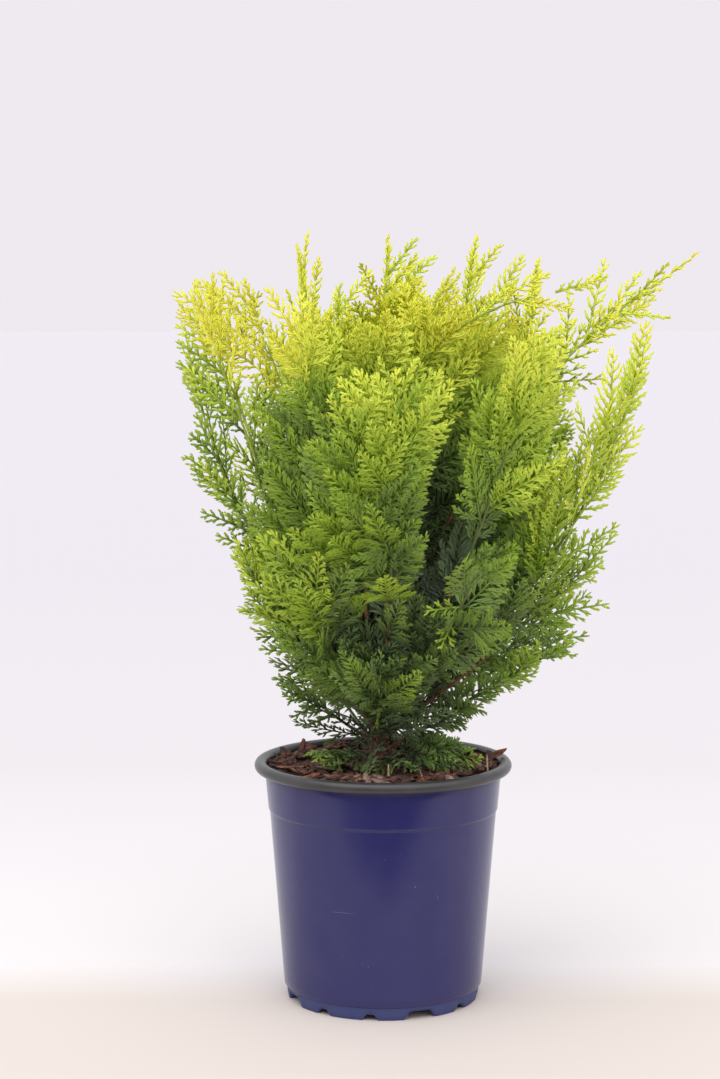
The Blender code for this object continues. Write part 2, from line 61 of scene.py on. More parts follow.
# Pot
POT_SIDES = 240
POT_HEIGHT = 155 * MM
RIM_RADIUS = 83 * MM
RIM_HEIGHT = 7.2 * MM
RIM_BEAD_RINGS = 15
WALL = 1.6 * MM
WALL_TOP_RADIUS = 76.2 * MM
WALL_TOP = POT_HEIGHT - RIM_HEIGHT - FIT_GAP
LEDGE_HEIGHT = 123 * MM
LEDGE_RADIUS = 73.2 * MM
LEDGE_STEP = 0.9 * MM
BODY_FOOT_RADIUS = 64 * MM
FOOT_RADIUS = 62.6 * MM
FOOT_WALL = 4 * MM
FOOT_HEIGHT = 8 * MM
FLOOR_UNDER = 5.5 * MM
PAD_RADIUS = 18 * MM
# Notches round the foot: the azimuth of the first in degrees, then the width and height of each kind
NOTCH_COUNT = 12
FIRST_NOTCH = -68
WIDE_NOTCH_EVERY = 3
WIDE_NOTCH = (18 * MM, 5.2 * MM)
SMALL_NOTCH = (8 * MM, 3.6 * MM)
# Scuffs on the wall: each from one point to another as (azimuth in degrees, height in millimetres)
SCUFFS = (
    ((-121, 69.6), (-103, 69.9)),
    ((-63, 82.5), (-60, 76.0)),
    ((-62, 80.6), (-60.4, 77.2)),
    ((-90, 105.4), (-89.3, 105.2)),
    ((-82, 108.3), (-81.5, 108.4)),
    ((-64, 99.6), (-63.5, 99.2)),
    ((-113, 41.5), (-112.2, 41.6)),
    ((-102, 37.6), (-101.4, 37.4)),
)
SCUFF_COLOUR = (0.35, 0.34, 0.40)
SCUFF_RADIUS = 0.22 * MM
SCUFF_SUNK = 0.14 * MM
SCUFF_RINGS = 12

# Soil and mulch
SOIL_TOP = 146.5 * MM
SOIL_BUMP = 1.6 * MM
SOIL_EDGE_RADIUS = 74.0 * MM
SOIL_DEPTH = 12 * MM
SOIL_UNDER_RADIUS = LEDGE_RADIUS - WALL - 0.4 * MM
SOIL_SIDES = 160
SOIL_RINGS = 44
# Lumps as noise: how many to a metre, the level it is taken at and how high in millimetres, like the heap
# against the wall
SOIL_LUMPS = ((90, 0.0, 1.6), (260, 0.4, 0.8))
SOIL_HEAP = 4.5
CHIP_COUNT = 760
CHIP_HEAP = 5.0 * MM
CHIP_EDGE = 5.0 * MM
CHIP_NEAREST = 0.012
CHIP_TWIST = 0.7
CHIP_RAGGED = 0.06
CHIP_BEND = 0.12
CHIP_TILT = 0.28
CHIP_ROLL = 0.5
CHIP_TRUNK_GAP = 11 * MM
# Chips, nuggets and shreds: the draw that each goes up to, and their least and greatest length, width and
# thickness in millimetres
CHIP_KINDS = (
    (0.50, (7, 16), (3.5, 7.5), (1.6, 3.4)),
    (0.72, (5, 8), (4, 7), (3, 5)),
    (1.00, (9, 18), (0.9, 1.9), (0.6, 1.1)),
)
CHIP_TONES = (
    ((0.026, 0.012, 0.010), (0.095, 0.042, 0.030)),
    ((0.080, 0.026, 0.016), (0.250, 0.092, 0.050)),
    ((0.045, 0.018, 0.014), (0.150, 0.060, 0.040)),
    ((0.150, 0.085, 0.068), (0.360, 0.240, 0.190)),
)
CHIP_TONE_SHARES = (4, 5, 5, 2)
# Single chips: place and size in millimetres, then heading, tilt and roll
LEANING_CHIPS = (
    ((71, 8, 155.5), (20, 6, 3.4), 0.2, 0.32, 0.5),
    ((-53, 44, 155), (9, 4.5, 3), 1.0, 1.2, 0.4),
)
STRAWS = (
    ((66, -27, 155), (15, 1.5, 0.8), 1.9, 1.35, 0.3),
    ((3, -49, 154), (12, 1.5, 0.8), 1.7, 1.30, 0.3),
    ((58, -30, 151), (13, 1.5, 0.8), 2.6, 0.35, 0.3),
)
STRAW_TONES = ((0.30, 0.20, 0.10), (0.52, 0.40, 0.24))

# Trunk
TRUNK_FOOT = (-2 * MM, 3 * MM)
TRUNK_FOOT_Z = SOIL_TOP + FIT_GAP
TRUNK_TOP_Z = 400 * MM
TRUNK_RINGS = 13
TRUNK_CROWDING = 1.8
TRUNK_SWAY = -6 * MM
TRUNK_LEAN_BACK = 15 * MM
TRUNK_RADIUS = 5.6 * MM
TRUNK_TIP_RADIUS = 1.3 * MM
TRUNK_TAPER = 1.3
FLARE = 3.4 * MM
FLARE_HEIGHT = 4 * MM
TRUNK_BARK_RINGS = 150
TRUNK_SIDES = 28
BARK_RELIEF = 0.45 * MM
BARK_FISSURES_ROUND = 2.4
BARK_FISSURES_ALONG = 130
BARK_SEED_STEP = 7.3

# Limbs: the source's own table in LIMBS, and more of them inside the crown that only this script grows.
# Lengths are in millimetres and angles in degrees.
Limb = namedtuple("Limb", "name azimuth reach tip fork out_share bare frond fronds tint")
INNER_LIMBS = (
    Limb("inner_left_out", 191, 86, 452, 250, 0.50, 0.10, 62, 0, "lime"),
    Limb("inner_left_far", 184, 102, 425, 200, 0.67, 0.10, 62, 0, "green"),
    Limb("inner_left", 228, 46, 446, 262, 0.40, 0.10, 62, 0, "lime"),
    Limb("inner_front", 268, 56, 440, 250, 0.45, 0.10, 62, 0, "lime"),
    Limb("inner_right", 316, 48, 464, 262, 0.40, 0.10, 62, 0, "lime"),
    Limb("inner_right_out", 345, 80, 468, 254, 0.45, 0.10, 62, 0, "lime"),
    Limb("inner_back", 75, 62, 460, 262, 0.45, 0.10, 62, 0, "lime"),
    Limb("inner_low_left", 205, 62, 330, 196, 0.50, 0.10, 62, 0, "green"),
    Limb("inner_low_right", 325, 70, 330, 196, 0.50, 0.10, 62, 0, "green"),
    Limb("inner_level", 326, 150, 456, 300, 0.03, 0.10, 62, 0, "lime"),
    Limb("inner_fan", 260, 98, 398, 196, 0.66, 0.20, 62, 0, "olive"),
)
LIMBS = (
    Limb("top", 80, 20, 491, None, 0.50, 0.00, 54, 8, "lime"),
    Limb("top_left", 190, 54, 486, 232, 0.60, 0.34, 56, 8, "lime"),
    Limb("top_right", 29, 70, 493, 226, 0.62, 0.34, 60, 8, "lime"),
    Limb("crown_right", 350, 170, 428, 188, 0.72, 0.26, 70, 10, "lime"),
    Limb("crown_arching", 3, 203, 479, 204, 0.30, 0.40, 50, 8, "lime"),
    Limb("crown_right_back", 36, 132, 472, 193, 0.62, 0.34, 74, 9, "lime"),
    Limb("crown_back", 80, 108, 474, 204, 0.66, 0.34, 74, 9, "lime"),
    Limb("crown_back_left", 122, 108, 470, 192, 0.66, 0.34, 72, 7, "lime"),
    Limb("crown_left_back", 155, 126, 460, 204, 0.64, 0.34, 68, 7, "lime"),
    Limb("crown_left", 182, 130, 430, 192, 0.66, 0.28, 66, 8, "green"),
    Limb("crown_gold", 204, 128, 462, 213, 0.60, 0.30, 64, 8, "gold"),
    Limb("crown_front_left", 232, 84, 452, 200, 0.64, 0.30, 66, 9, "lime"),
    Limb("crown_front", 275, 94, 408, 176, 0.70, 0.20, 68, 11, "olive"),
    Limb("crown_front_right", 322, 116, 430, 196, 0.68, 0.28, 68, 9, "lime"),
    Limb("middle_right", 352, 150, 304, 172, 0.56, 0.26, 66, 8, "green"),
    Limb("middle_back_right", 48, 124, 318, 181, 0.62, 0.30, 66, 7, "green"),
    Limb("middle_back", 95, 116, 312, 186, 0.62, 0.30, 66, 7, "green"),
    Limb("middle_back_left", 140, 104, 314, 179, 0.62, 0.30, 66, 7, "green"),
    Limb("middle_left", 194, 98, 300, 180, 0.60, 0.24, 60, 7, "green"),
    Limb("middle_front_left", 233, 92, 308, 184, 0.64, 0.22, 64, 8, "green"),
    Limb("middle_front_right", 310, 98, 304, 183, 0.64, 0.22, 64, 8, "green"),
    Limb("lower_right", 344, 126, 238, 161, 0.50, 0.00, 56, 7, "deep"),
    Limb("lower_back_right", 40, 92, 222, 166, 0.54, 0.00, 54, 6, "deep"),
    Limb("lower_back_left", 126, 84, 218, 165, 0.54, 0.00, 54, 6, "deep"),
    Limb("lower_left", 187, 64, 210, 167, 0.54, 0.00, 46, 6, "deep"),
    Limb("lower_front", 268, 70, 234, 164, 0.62, 0.00, 60, 8, "deep"),
    Limb("skirt_left", 214, 56, 165, 158, 0.30, 0.00, 34, 4, "deep"),
    Limb("skirt_front", 286, 56, 162, 156, 0.30, 0.00, 34, 4, "deep"),
    Limb("skirt_right", 322, 72, 170, 157, 0.30, 0.00, 38, 4, "deep"),
    Limb("skirt_back", 85, 62, 172, 157, 0.30, 0.00, 34, 3, "deep"),
)
ALL_LIMBS = LIMBS + INNER_LIMBS
# The source's boughs, which its fronds keep clear of
BOUGH_RADIUS = 2.2 * MM
BOUGH_END_RADIUS = 1.5 * MM
# The boughs and stems that show
BOUGH_BARK_RADIUS = 1.35 * MM
BOUGH_SWELLING = 0.35
BOUGH_SWOLLEN_SHARE = 0.03
BOUGH_SUNK = 0.7
BOUGH_RINGS = 46
BOUGH_SIDES = 12
BOUGH_BARK_RELIEF = 0.6 * BARK_RELIEF
STEM_RADIUS = 1.4 * MM
STEM_TIP_RADIUS = 0.5 * MM
STEM_FOOT_SHARE = 0.8
INNER_STEM_FOOT_SHARE = 0.5
STEM_OVERLAP = 0.02
STEM_RINGS = 24
STEM_SIDES = 7
STEM_RELIEF = 0.3 * BARK_RELIEF
STEM_SHARE = 0.86
# How much further than its bare part a limb is brown
WOODY_BEYOND = 0.16
WOODIER = {"crown_front": 0.34, "inner_fan": 0.36}
TRUNK_GAP = 0.45 * MM

# Fronds: the source's rule
GOLDEN_TURN = math.radians(137.5)
BLADE = 1.0 * MM
FROND_SLENDER = 0.32
LEADER_SLENDER = 0.20
LEADER_OVERLAP = 0.03
RIB_HALF_WIDTH = 1.3 * MM
ROOT_HALF_WIDTH = 0.6 * MM
TOOTH_FORWARD = 0.85
SHORT_FROND = 49 * MM
SPREAD_LOW = math.radians(62)
SPREAD_HIGH = math.radians(34)
FRONT_FACING = 0.8
RADIAL_FACING = 0.6
FACE_JITTER = 0.35
LEVEL_FACING = 1.6
LEVEL_SPREAD = 0.85
LEVEL_BELOW = 230 * MM
TURNS_TRIED = tuple(math.radians(a) for a in (0, 28, -28, 60, -60))
CLOSINGS_TRIED = (1.0, 0.72, 0.5)
LENGTHS_TRIED = (1.0, 0.82, 0.66, 0.52)
SPACE_MARGIN = 1.3 * MM
LIMB_MARGIN = 0.8 * MM
POT_MARGIN = 1.5 * MM
RIM_KEPT_CLEAR = 4 * MM
FREE_FROM = 0.10
SAMPLE = 3.0 * MM
LIMB_TESTED = 40
TRUNK_TESTED = 120
# The crown's outline: each height, and how far it reaches to the left, to the right and to the front or back,
# in millimetres
CROWN = (
    (150, 56, 70, 66),
    (185, 62, 78, 76),
    (205, 70, 98, 86),
    (232, 80, 140, 100),
    (256, 92, 150, 112),
    (290, 102, 152, 122),
    (313, 118, 156, 126),
    (350, 128, 160, 130),
    (400, 132, 170, 132),
    (440, 136, 184, 130),
    (470, 132, 205, 118),
    (495, 80, 205, 90),
)
SPRAY_TOP = 480 * MM

# Sprays between the fronds of the source: each limb's stem bears them left and right as one flat plume
PLUME_PLACE = (0.3, 0.7)
PLUME_BEYOND = 0.06
PLUME_LENGTH = ((0, 0.25, 1), (0.84, 1.2, 0.6))
PLUME_LENGTH_JITTER = (0.85, 1.12)
PLUME_SPREAD_JITTER = 0.08
PLUME_ROLL = 0.45
PLUME_ROLL_WITHIN = 0.20
PLUME_STRETCH = (0.99, 1.14)
PLUME_ROOT = 0.55
SPREAD_BY_SIDE = ((-0.8, 0), (0.6, 1))
PLUME_TURNS = (1.0, 0.7, 0.45)
PLUME_LENGTHS = (1.0, 0.85, 0.7, 0.55, 0.4)
PLUME_TOP = (436 * MM, 468 * MM)
SLIM_ABOVE = 462 * MM
SLIM_SHARE = 0.30
# How a limb bears its sprays: how far apart in millimetres, how long beside the limb's own length, how far
# they spread at its foot and at its tip in degrees, how slender they are beside the source's, how open, and
# which share of the crown's reach they keep to (less where other sprays reach further)
Habit = namedtuple(
    "Habit", "pitch length low_spread high_spread slender openness within", defaults=(1.0, 1.0)
)
PLAIN_HABIT = Habit(3.6, 1.0, 50, 26, 1.0)
HABITS = {
    "top_left": Habit(9.0, 0.60, 40, 24, 0.50),
    "crown_left": Habit(9.0, 0.70, 60, 44, 0.42, 1.2, 0.76),
    "crown_left_back": Habit(15.0, 0.75, 60, 44, 0.46, 1.3, 0.85),
    "crown_gold": Habit(15.0, 0.70, 62, 48, 0.30, 1.1, 0.76),
    "crown_front_left": Habit(3.8, 1.0, 50, 26, 0.9, 1.0, 0.92),
    "crown_back_left": Habit(6.4, 0.95, 62, 40, 0.70, 1.1),
    "crown_front": Habit(2.8, 1.2, 66, 38, 0.95),
    "crown_arching": Habit(7.0, 0.50, 42, 26, 0.50, 1.4, 0.88),
    "crown_right": Habit(5.0, 0.95, 60, 38, 0.52, 1.15, 0.80),
    "middle_left": Habit(7.5, 0.90, 66, 48, 0.42, 1.2, 0.80),
    "middle_front_left": Habit(5.4, 1.0, 60, 40, 0.58, 1.25, 0.92),
    "middle_front_right": Habit(3.6, 1.0, 50, 26, 1.0, 1.0, 0.94),
    "middle_back_left": Habit(12.0, 0.90, 60, 44, 0.50, 1.2, 0.88),
    "middle_right": Habit(4.6, 1.10, 68, 48, 0.58, 1.3, 0.88),
    "middle_back_right": Habit(6.0, 1.0, 64, 44, 0.65, 1.1),
    "lower_left": Habit(5.0, 1.10, 76, 56, 0.54, 1.2),
    "lower_back_left": Habit(6.0, 1.1, 66, 46, 0.60, 1.1),
    "lower_front": Habit(4.0, 1.1, 50, 26, 0.66, 1.0, 0.88),
    "lower_right": Habit(5.0, 1.15, 74, 58, 0.50, 1.15, 0.92),
    "lower_back_right": Habit(6.0, 1.1, 66, 46, 0.60, 1.1),
    "skirt_left": Habit(4.6, 1.0, 50, 30, 0.9),
    "skirt_front": Habit(16.0, 0.8, 50, 30, 0.32, 1.2, 0.88),
    "skirt_right": Habit(9.0, 1.0, 50, 26, 0.45, 1.2, 0.88),
    "skirt_back": Habit(6.0, 1.0, 50, 30, 0.9),
    "inner_left_out": Habit(24.0, 0.60, 50, 34, 0.36, 1.1, 0.72),
    "inner_left_far": Habit(11.0, 0.70, 56, 40, 0.42, 1.2, 0.76),
    "inner_level": Habit(7.0, 0.50, 48, 34, 0.50, 1.3),
    "inner_fan": Habit(3.2, 1.1, 62, 36, 0.95),
}
# Sprays whose tips the photo shows apart from the rest, by limb: how far along it they grow, where their tip
# is across, behind the pot's axis and up in millimetres, how they bend (down to the left, up to the right),
# how slender and how open they are, and how much yellower than their neighbours
Reach = namedtuple("Reach", "share across behind up bend slender openness lift", defaults=(1.0, 0.0))
REACHES = {
    "inner_left_out": (
        (0.80, -131, -26, 455, 0.10, 0.13, 1.1),
        (0.70, -131, -28, 444, 0.12, 0.14, 1.1),
        (0.90, -119, -22, 462, 0.06, 0.11),
        (0.94, -103, -20, 468, 0.04, 0.13),
        (0.88, -88, -20, 464, 0.00, 0.11),
    ),
    "crown_front_left": (
        (0.90, -72, -60, 458, -0.04, 0.13),
    ),
    "inner_left_far": (
        (0.97, -130, -8, 448, 0.00, 0.15, 1.1, -0.16),
        (0.95, -132, -8, 435, 0.06, 0.16, 1.1, -0.16),
        (0.91, -132, -8, 424, 0.08, 0.15, 1.1, -0.16),
        (0.87, -132, -8, 411, 0.08, 0.17, 1.1, -0.12),
        (0.83, -128, -8, 401, 0.10, 0.15, 1.1, -0.10),
        (0.79, -120, -8, 391, 0.10, 0.15, 1.1, -0.10),
    ),
    "crown_left": (
        (0.66, -119, -10, 380, -0.04, 0.20, 1.1, -0.10),
        (0.72, -124, -10, 367, 0.00, 0.18, 1.1, -0.10),
        (0.64, -127, -8, 352, 0.06, 0.18, 1.1, -0.12),
        (0.60, -123, -8, 344, 0.06, 0.17, 1.1, -0.14),
        (0.54, -117, -5, 315, 0.08, 0.17, 1.1, -0.16),
        (0.48, -108, -5, 301, 0.08, 0.17, 1.1, -0.16),
    ),
    "middle_left": (
        (0.72, -92, -20, 292, 0.04, 0.22, 1.1, 0.12),
        (0.60, -87, -20, 268, 0.08, 0.20, 1.1, -0.04),
    ),
    "inner_left": (
        (0.92, -27, -34, 461, -0.06, 0.12, 1.0, -0.04),
        (0.96, -7, -30, 469, 0.00, 0.12, 1.0, -0.06),
    ),
    "top": (
        (0.62, 4, 16, 487, 0.04, 0.11, 1.0, -0.08),
        (0.70, 22, 20, 490, -0.02, 0.11, 1.0, -0.10),
        (0.50, 34, 18, 479, -0.04, 0.12, 1.0, -0.10),
    ),
    "top_right": (
        (0.86, 57, 20, 481, 0.04, 0.13, 1.0, -0.08),
        (0.90, 76, 24, 486, -0.06, 0.12, 1.0, -0.10),
    ),
    "inner_right_out": (
        (0.84, 88, -10, 478, -0.04, 0.12, 1.0, -0.08),
        (0.90, 107, -10, 467, -0.04, 0.12, 1.0, -0.04),
    ),
    "crown_arching": (
        (0.72, 142, 8, 477, 0.00, 0.12, 1.3),
        (0.76, 165, 8, 469, 0.00, 0.12, 1.3),
        (0.70, 175, 8, 453, 0.00, 0.12, 1.3),
        (0.80, 184, 8, 438, -0.05, 0.06, 1.2),
    ),
    "crown_right": (
        (0.86, 164, -20, 437, -0.06, 0.14, 1.1),
        (0.74, 146, -20, 421, 0.02, 0.14, 1.1),
        (0.74, 163, -20, 415, -0.04, 0.14, 1.1),
        (0.66, 163, -25, 372, -0.08, 0.17, 1.2, 0.05),
        (0.60, 153, -30, 354, -0.05, 0.17, 1.2, 0.05),
        (0.47, 151, -15, 308, -0.05, 0.24, 1.4, 0.05),
        (0.42, 140, -15, 284, -0.05, 0.28, 1.5),
    ),
    "middle_right": (
        (0.60, 144, -15, 258, -0.06, 0.28, 1.5),
        (0.45, 131, -20, 237, -0.06, 0.26, 1.4),
    ),
    "lower_front": (
        (0.35, 11, -55, 245, -0.04, 0.24, 1.0, -0.06),
        (0.30, -1, -50, 237, 0.00, 0.22, 1.0, -0.06),
        (0.40, 24, -58, 233, -0.06, 0.24, 1.0, -0.06),
        (0.30, 28, -54, 212, -0.06, 0.25, 1.0, -0.06),
        (0.22, 38, -50, 191, -0.08, 0.25, 1.0, -0.06),
    ),
    "middle_front_right": (
        (0.70, 24, -66, 259, 0.06, 0.24, 1.2, 0.26),
        (0.62, 34, -66, 234, 0.12, 0.26, 1.2, 0.26),
    ),
    "lower_right": (
        (0.10, 40, -46, 186, -0.06, 0.26, 1.0, -0.04),
        (0.24, 60, -44, 200, -0.06, 0.26, 1.0, -0.02),
        (0.30, 65, -32, 197, -0.06, 0.26),
        (0.36, 74, -46, 212, -0.06, 0.26),
        (0.48, 89, -30, 217, -0.06, 0.24),
        (0.58, 100, -30, 226, -0.06, 0.24, 1.1),
    ),
    "skirt_right": (
        (0.30, 55, -40, 171, -0.06, 0.30, 1.1, 0.04),
        (0.40, 60, -40, 160, -0.12, 0.28, 1.1, 0.08),
        (0.25, 37, -48, 161, -0.10, 0.30, 1.1, 0.04),
    ),
    "skirt_front": (
        (0.30, 8, -52, 155, 0.00, 0.26, 1.1, 0.04),
    ),
}
# Slim shoots that stand up out of the crown's top
TIP_SHOOTS = 3
TIP_SHOOT_FOOT = (0.80, 0.97)
TIP_SHOOT_LENGTH = (30 * MM, 50 * MM)
TIP_SHOOT_SLENDER = (0.05, 0.13)
TIP_SHOOT_SPREAD = 0.9
TIP_SHOOT_CEILING = 496 * MM
TIP_SHOOT_RISE = 8 * MM
CROWN_TIPS_FROM = 400
CROWN_STEMS_FROM = 350 * MM
# Hollows kept open in front of a depth, each given across and by its height over the pot's axis, from which
# it slopes down backwards: the dark one between the front plumes, those where wood shows at the foot and in
# the front plume, a gap right through beside the trunk, and the crown's lower edge on the right
Hollow = namedtuple("Hollow", "left right low high depth")
HOLLOW_SLOPE = 0.14
HOLLOWS = (
    Hollow(27, 60, 253, 329, -12),
    Hollow(-16, -4, 160, 197, -2),
    Hollow(-4, 11, 232, 262, -46),
    Hollow(-14, -5, 231, 274, -38),
    Hollow(28, 44, 177, 199, -4),
    Hollow(42, 60, 193, 217, -6),
    Hollow(58, 74, 211, 233, -8),
    Hollow(-27, -13, 172, 186, 200),
    Hollow(62, 200, 160, 186, 200),
    Hollow(77, 200, 186, 199, 200),
    Hollow(92, 200, 199, 208, 200),
    Hollow(104, 200, 208, 218, 200),
)
# Where along its axis a spray is tested, beside its corners
AXIS_TESTED = (0.25, 0.4, 0.55, 0.7, 0.85)

# Twigs of one spray
AXIS_PIECES = 3
AXIS_HALF_WIDTH = 0.95 * MM
SECOND_FROM_TO = (0.05, 0.93)
SECOND_ANGLE = (math.radians(46), math.radians(30))
SECOND_ANGLE_BY_SLENDER = ((0.08, 0.16), (0.65, 1.0))
SECOND_CURVE = math.radians(16)
SECOND_OF_REST = (0.30, 0.48)
SECOND_SHORTEST = 3.4 * MM
SECOND_HALF_WIDTH = 0.80 * MM
SECOND_TILT = 0.22
THIRD_SHORTEST = 2.0 * MM
THIRD_BY_SLENDER = ((0.12, 0.28), (0.72, 1.0))
THIRD_WIDTH_OF_LENGTH = 0.24
BARE_TIP = 3.2 * MM
TIP_BLADE = 6.0 * MM
TWIG_FLATNESS = 0.62
SPRAY_SAG = 0.10
SPRAY_CUP = 0.35
SPRAY_CURL = 0.10
SPRAY_WAVE = 0.012
SPRAY_WAVE_TURN = 4.0
# What changes from the crown's top to its foot, where the sprays are long and feathery, between two heights
FEATHER_HEIGHTS = (250 * MM, 340 * MM)
SECOND_PITCH = (2.8 * MM, 2.5 * MM)
THIRD_PITCH = (2.0 * MM, 1.9 * MM)
THIRD_ANGLE = (math.radians(27), math.radians(22))
THIRD_LENGTH = (5.6 * MM, 10.0 * MM)
THIRD_OF_REST = (0.34, 0.52)
THIRD_HALF_WIDTH = (0.74 * MM, 0.66 * MM)

# Foliage colours, from the shaded foot of the plant to its yellow shoulder, and the record's slot nearest to
# each one
TINTS = (
    (0.068, 0.102, 0.054),
    (0.094, 0.144, 0.058),
    (0.122, 0.186, 0.060),
    (0.148, 0.232, 0.056),
    (0.190, 0.302, 0.048),
    (0.240, 0.376, 0.034),
    (0.310, 0.460, 0.030),
    (0.408, 0.560, 0.040),
    (0.525, 0.655, 0.054),
    (0.680, 0.780, 0.070),
    (0.770, 0.830, 0.072),
    (0.840, 0.830, 0.070),
)
TINT_SLOTS = ("deep",) * 3 + ("green",) * 3 + ("olive",) * 2 + ("lime",) * 2 + ("gold",) * 2
# How far through the tints a spray is, by its height in metres, then what its mass, its depth in the crown
# (darker inside, partly the inner foliage's deeper green and partly painted shade), the order of its twigs
# and chance change
TINT_BY_HEIGHT = (
    (0.150, 0.38),
    (0.185, 0.33),
    (0.250, 0.45),
    (0.300, 0.55),
    (0.350, 0.62),
    (0.400, 0.81),
    (0.440, 0.96),
    (0.490, 1.00),
)
TINT_SHIFT = {"gold": -0.02, "lime": 0.0, "olive": 0.0, "green": -0.04, "deep": 0.0}
TINT_TAKEN_AT = 0.6
# How much darker sprays deep in the crown are: partly their own deeper green, partly painted shade, fading
# out towards the top
TINT_INNER_GREEN_AND_PAINTED_SHADE = 0.46
TINT_INNER_TO = 0.8
TINT_INNER_HEIGHTS = (0.350, 0.420)
TINT_OUTER_GAIN = 0.18
TINT_OUTER_FROM = 0.6
TINT_OUTER_HEIGHTS = (0.190, 0.270)
# Places where the sprays are yellower or greener than their height gives: where each is across and up, and
# half its width and height, in millimetres
Tone = namedtuple("Tone", "across up half_width half_height gain")
TONES = (
    Tone(-92, 436, 50, 30, 0.26),
    Tone(-115, 385, 35, 50, -0.14),
    Tone(-46, 376, 24, 46, -0.20),
    Tone(-3, 322, 48, 40, -0.12),
    Tone(62, 432, 48, 32, 0.06),
    Tone(-60, 318, 30, 24, 0.06),
    Tone(98, 322, 42, 38, 0.06),
    Tone(100, 380, 42, 32, -0.06),
    Tone(105, 248, 42, 36, 0.08),
    Tone(-68, 268, 36, 36, 0.13),
    Tone(78, 204, 52, 26, 0.07),
    Tone(-4, 226, 34, 28, -0.06),
    Tone(46, 300, 20, 40, -0.16),
)
TINT_TIP_GAIN = (0.18, 0.26, 0.26, 0.12)
TINT_TIP_HEIGHTS = (0.200, 0.280, 0.380, 0.440)
TINT_TIP_FROM = 0.55
TINT_DULLED = (0.14, 0.03, 0.0)
TINT_STRAY = 0.05
TWIG_TINT_STRAY = 0.02
PIECE_TRIANGLES = 190000

# Stage: the floor's tones backwards from the pot, with painted light and shade behind the pot, the sky's
# tones upwards, each sun with where it stands, its angle in degrees and its strength, and the black card that
# only the pot reflects, a painted dark reflection
FLOOR_HALF_SIDE = 60.0
# The floor's own warm beige in front of the pot, then painted light just behind it against the plant's shade,
# then painted shade further back
FLOOR_COLOUR_AND_PAINTED_LIGHT_RUN = (-0.02, 2.4)
FLOOR_COLOUR_AND_PAINTED_LIGHT = (
    (0.0, (0.675, 0.602, 0.556)),
    (0.035, (0.772, 0.731, 0.735)),
    (0.16, (0.690, 0.657, 0.669)),
    (0.32, (0.620, 0.588, 0.607)),
    (1.0, (0.598, 0.568, 0.602)),
)
SKY_TONES = (
    (0.0, (0.86, 0.82, 0.87)),
    (0.13, (0.86, 0.82, 0.87)),
    (0.30, (0.90, 0.90, 0.92)),
    (1.0, (1.10, 1.10, 1.12)),
)
SUNS = (
    ("key", (-0.5, -0.8, 1.4), 60, 1.25),
    ("fill", (0.8, -0.8, 0.9), 60, 0.55),
)
# The black card's wedge: a painted dark reflection, seen only in gloss
REFLECTION_CARD_APEX = -274 * MM
REFLECTION_CARD_END = -1500 * MM
REFLECTION_CARD_WIDENING = 4.6


def node_material(name, colour, roughness):
    """A Principled material and its shader node; the callers add the surface's own detail."""
    made = bpy.data.materials.new(name)
    made.use_nodes = True
    shader = made.node_tree.nodes["Principled BSDF"]
    shader.inputs["Base Color"].default_value = (*colour, 1.0)
    shader.inputs["Roughness"].default_value = roughness
    return made, shader


def add_node(made, kind, **inputs):
    """A node of a kind, with the given inputs set by name (spaces written as underscores)."""
    node = made.node_tree.nodes.new(kind)
    for name, value in inputs.items():
        node.inputs[name.replace("_", " ")].default_value = value
    return node


def link(made, source, target):
    made.node_tree.links.new(source, target)


def object_noise(made, scale, detail=3.0, stretch=(1.0, 1.0, 1.0)):
    """Noise in the object's own metres, stretched if asked."""
    place = made.node_tree.nodes.new("ShaderNodeTexCoord")
    mapping = add_node(made, "ShaderNodeMapping", Scale=stretch)
    grain = add_node(made, "ShaderNodeTexNoise", Scale=scale, Detail=detail)
    link(made, place.outputs["Object"], mapping.inputs["Vector"])
    link(made, mapping.outputs["Vector"], grain.inputs["Vector"])
    return grain.outputs["Fac"]


def coordinates(made, kind):
    """The parts of the place that is shaded, in one of the kinds of coordinates."""
    place = made.node_tree.nodes.new("ShaderNodeTexCoord")
    split = made.node_tree.nodes.new("ShaderNodeSeparateXYZ")
    link(made, place.outputs[kind], split.inputs["Vector"])
    return split


def ramp(made, source, stops):
    """A colour ramp over a value: stops are (position, colour)."""
    node = made.node_tree.nodes.new("ShaderNodeValToRGB")
    elements = node.color_ramp.elements
    while len(elements) < len(stops):
        elements.new(0.5)
    for element, (position, colour) in zip(elements, stops):
        element.position = position
        element.color = (*colour, 1.0)
    link(made, source, node.inputs["Fac"])
    return node


def scaled(made, source, low, high, start=0.0, end=1.0):
    """A value between start and end brought to the range from low to high."""
    node = add_node(made, "ShaderNodeMapRange", From_Min=start, From_Max=end, To_Min=low, To_Max=high)
    link(made, source, node.inputs["Value"])
    return node.outputs["Result"]


def tint_by(made, shader, source, stops):
    link(made, ramp(made, source, stops).outputs["Color"], shader.inputs["Base Color"])


def roughen(made, shader, source, low, high):
    link(made, scaled(made, source, low, high), shader.inputs["Roughness"])


def bump(made, shader, height, distance, strength):
    node = add_node(made, "ShaderNodeBump", Strength=strength, Distance=distance)
    link(made, height, node.inputs["Height"])
    link(made, node.outputs["Normal"], shader.inputs["Normal"])


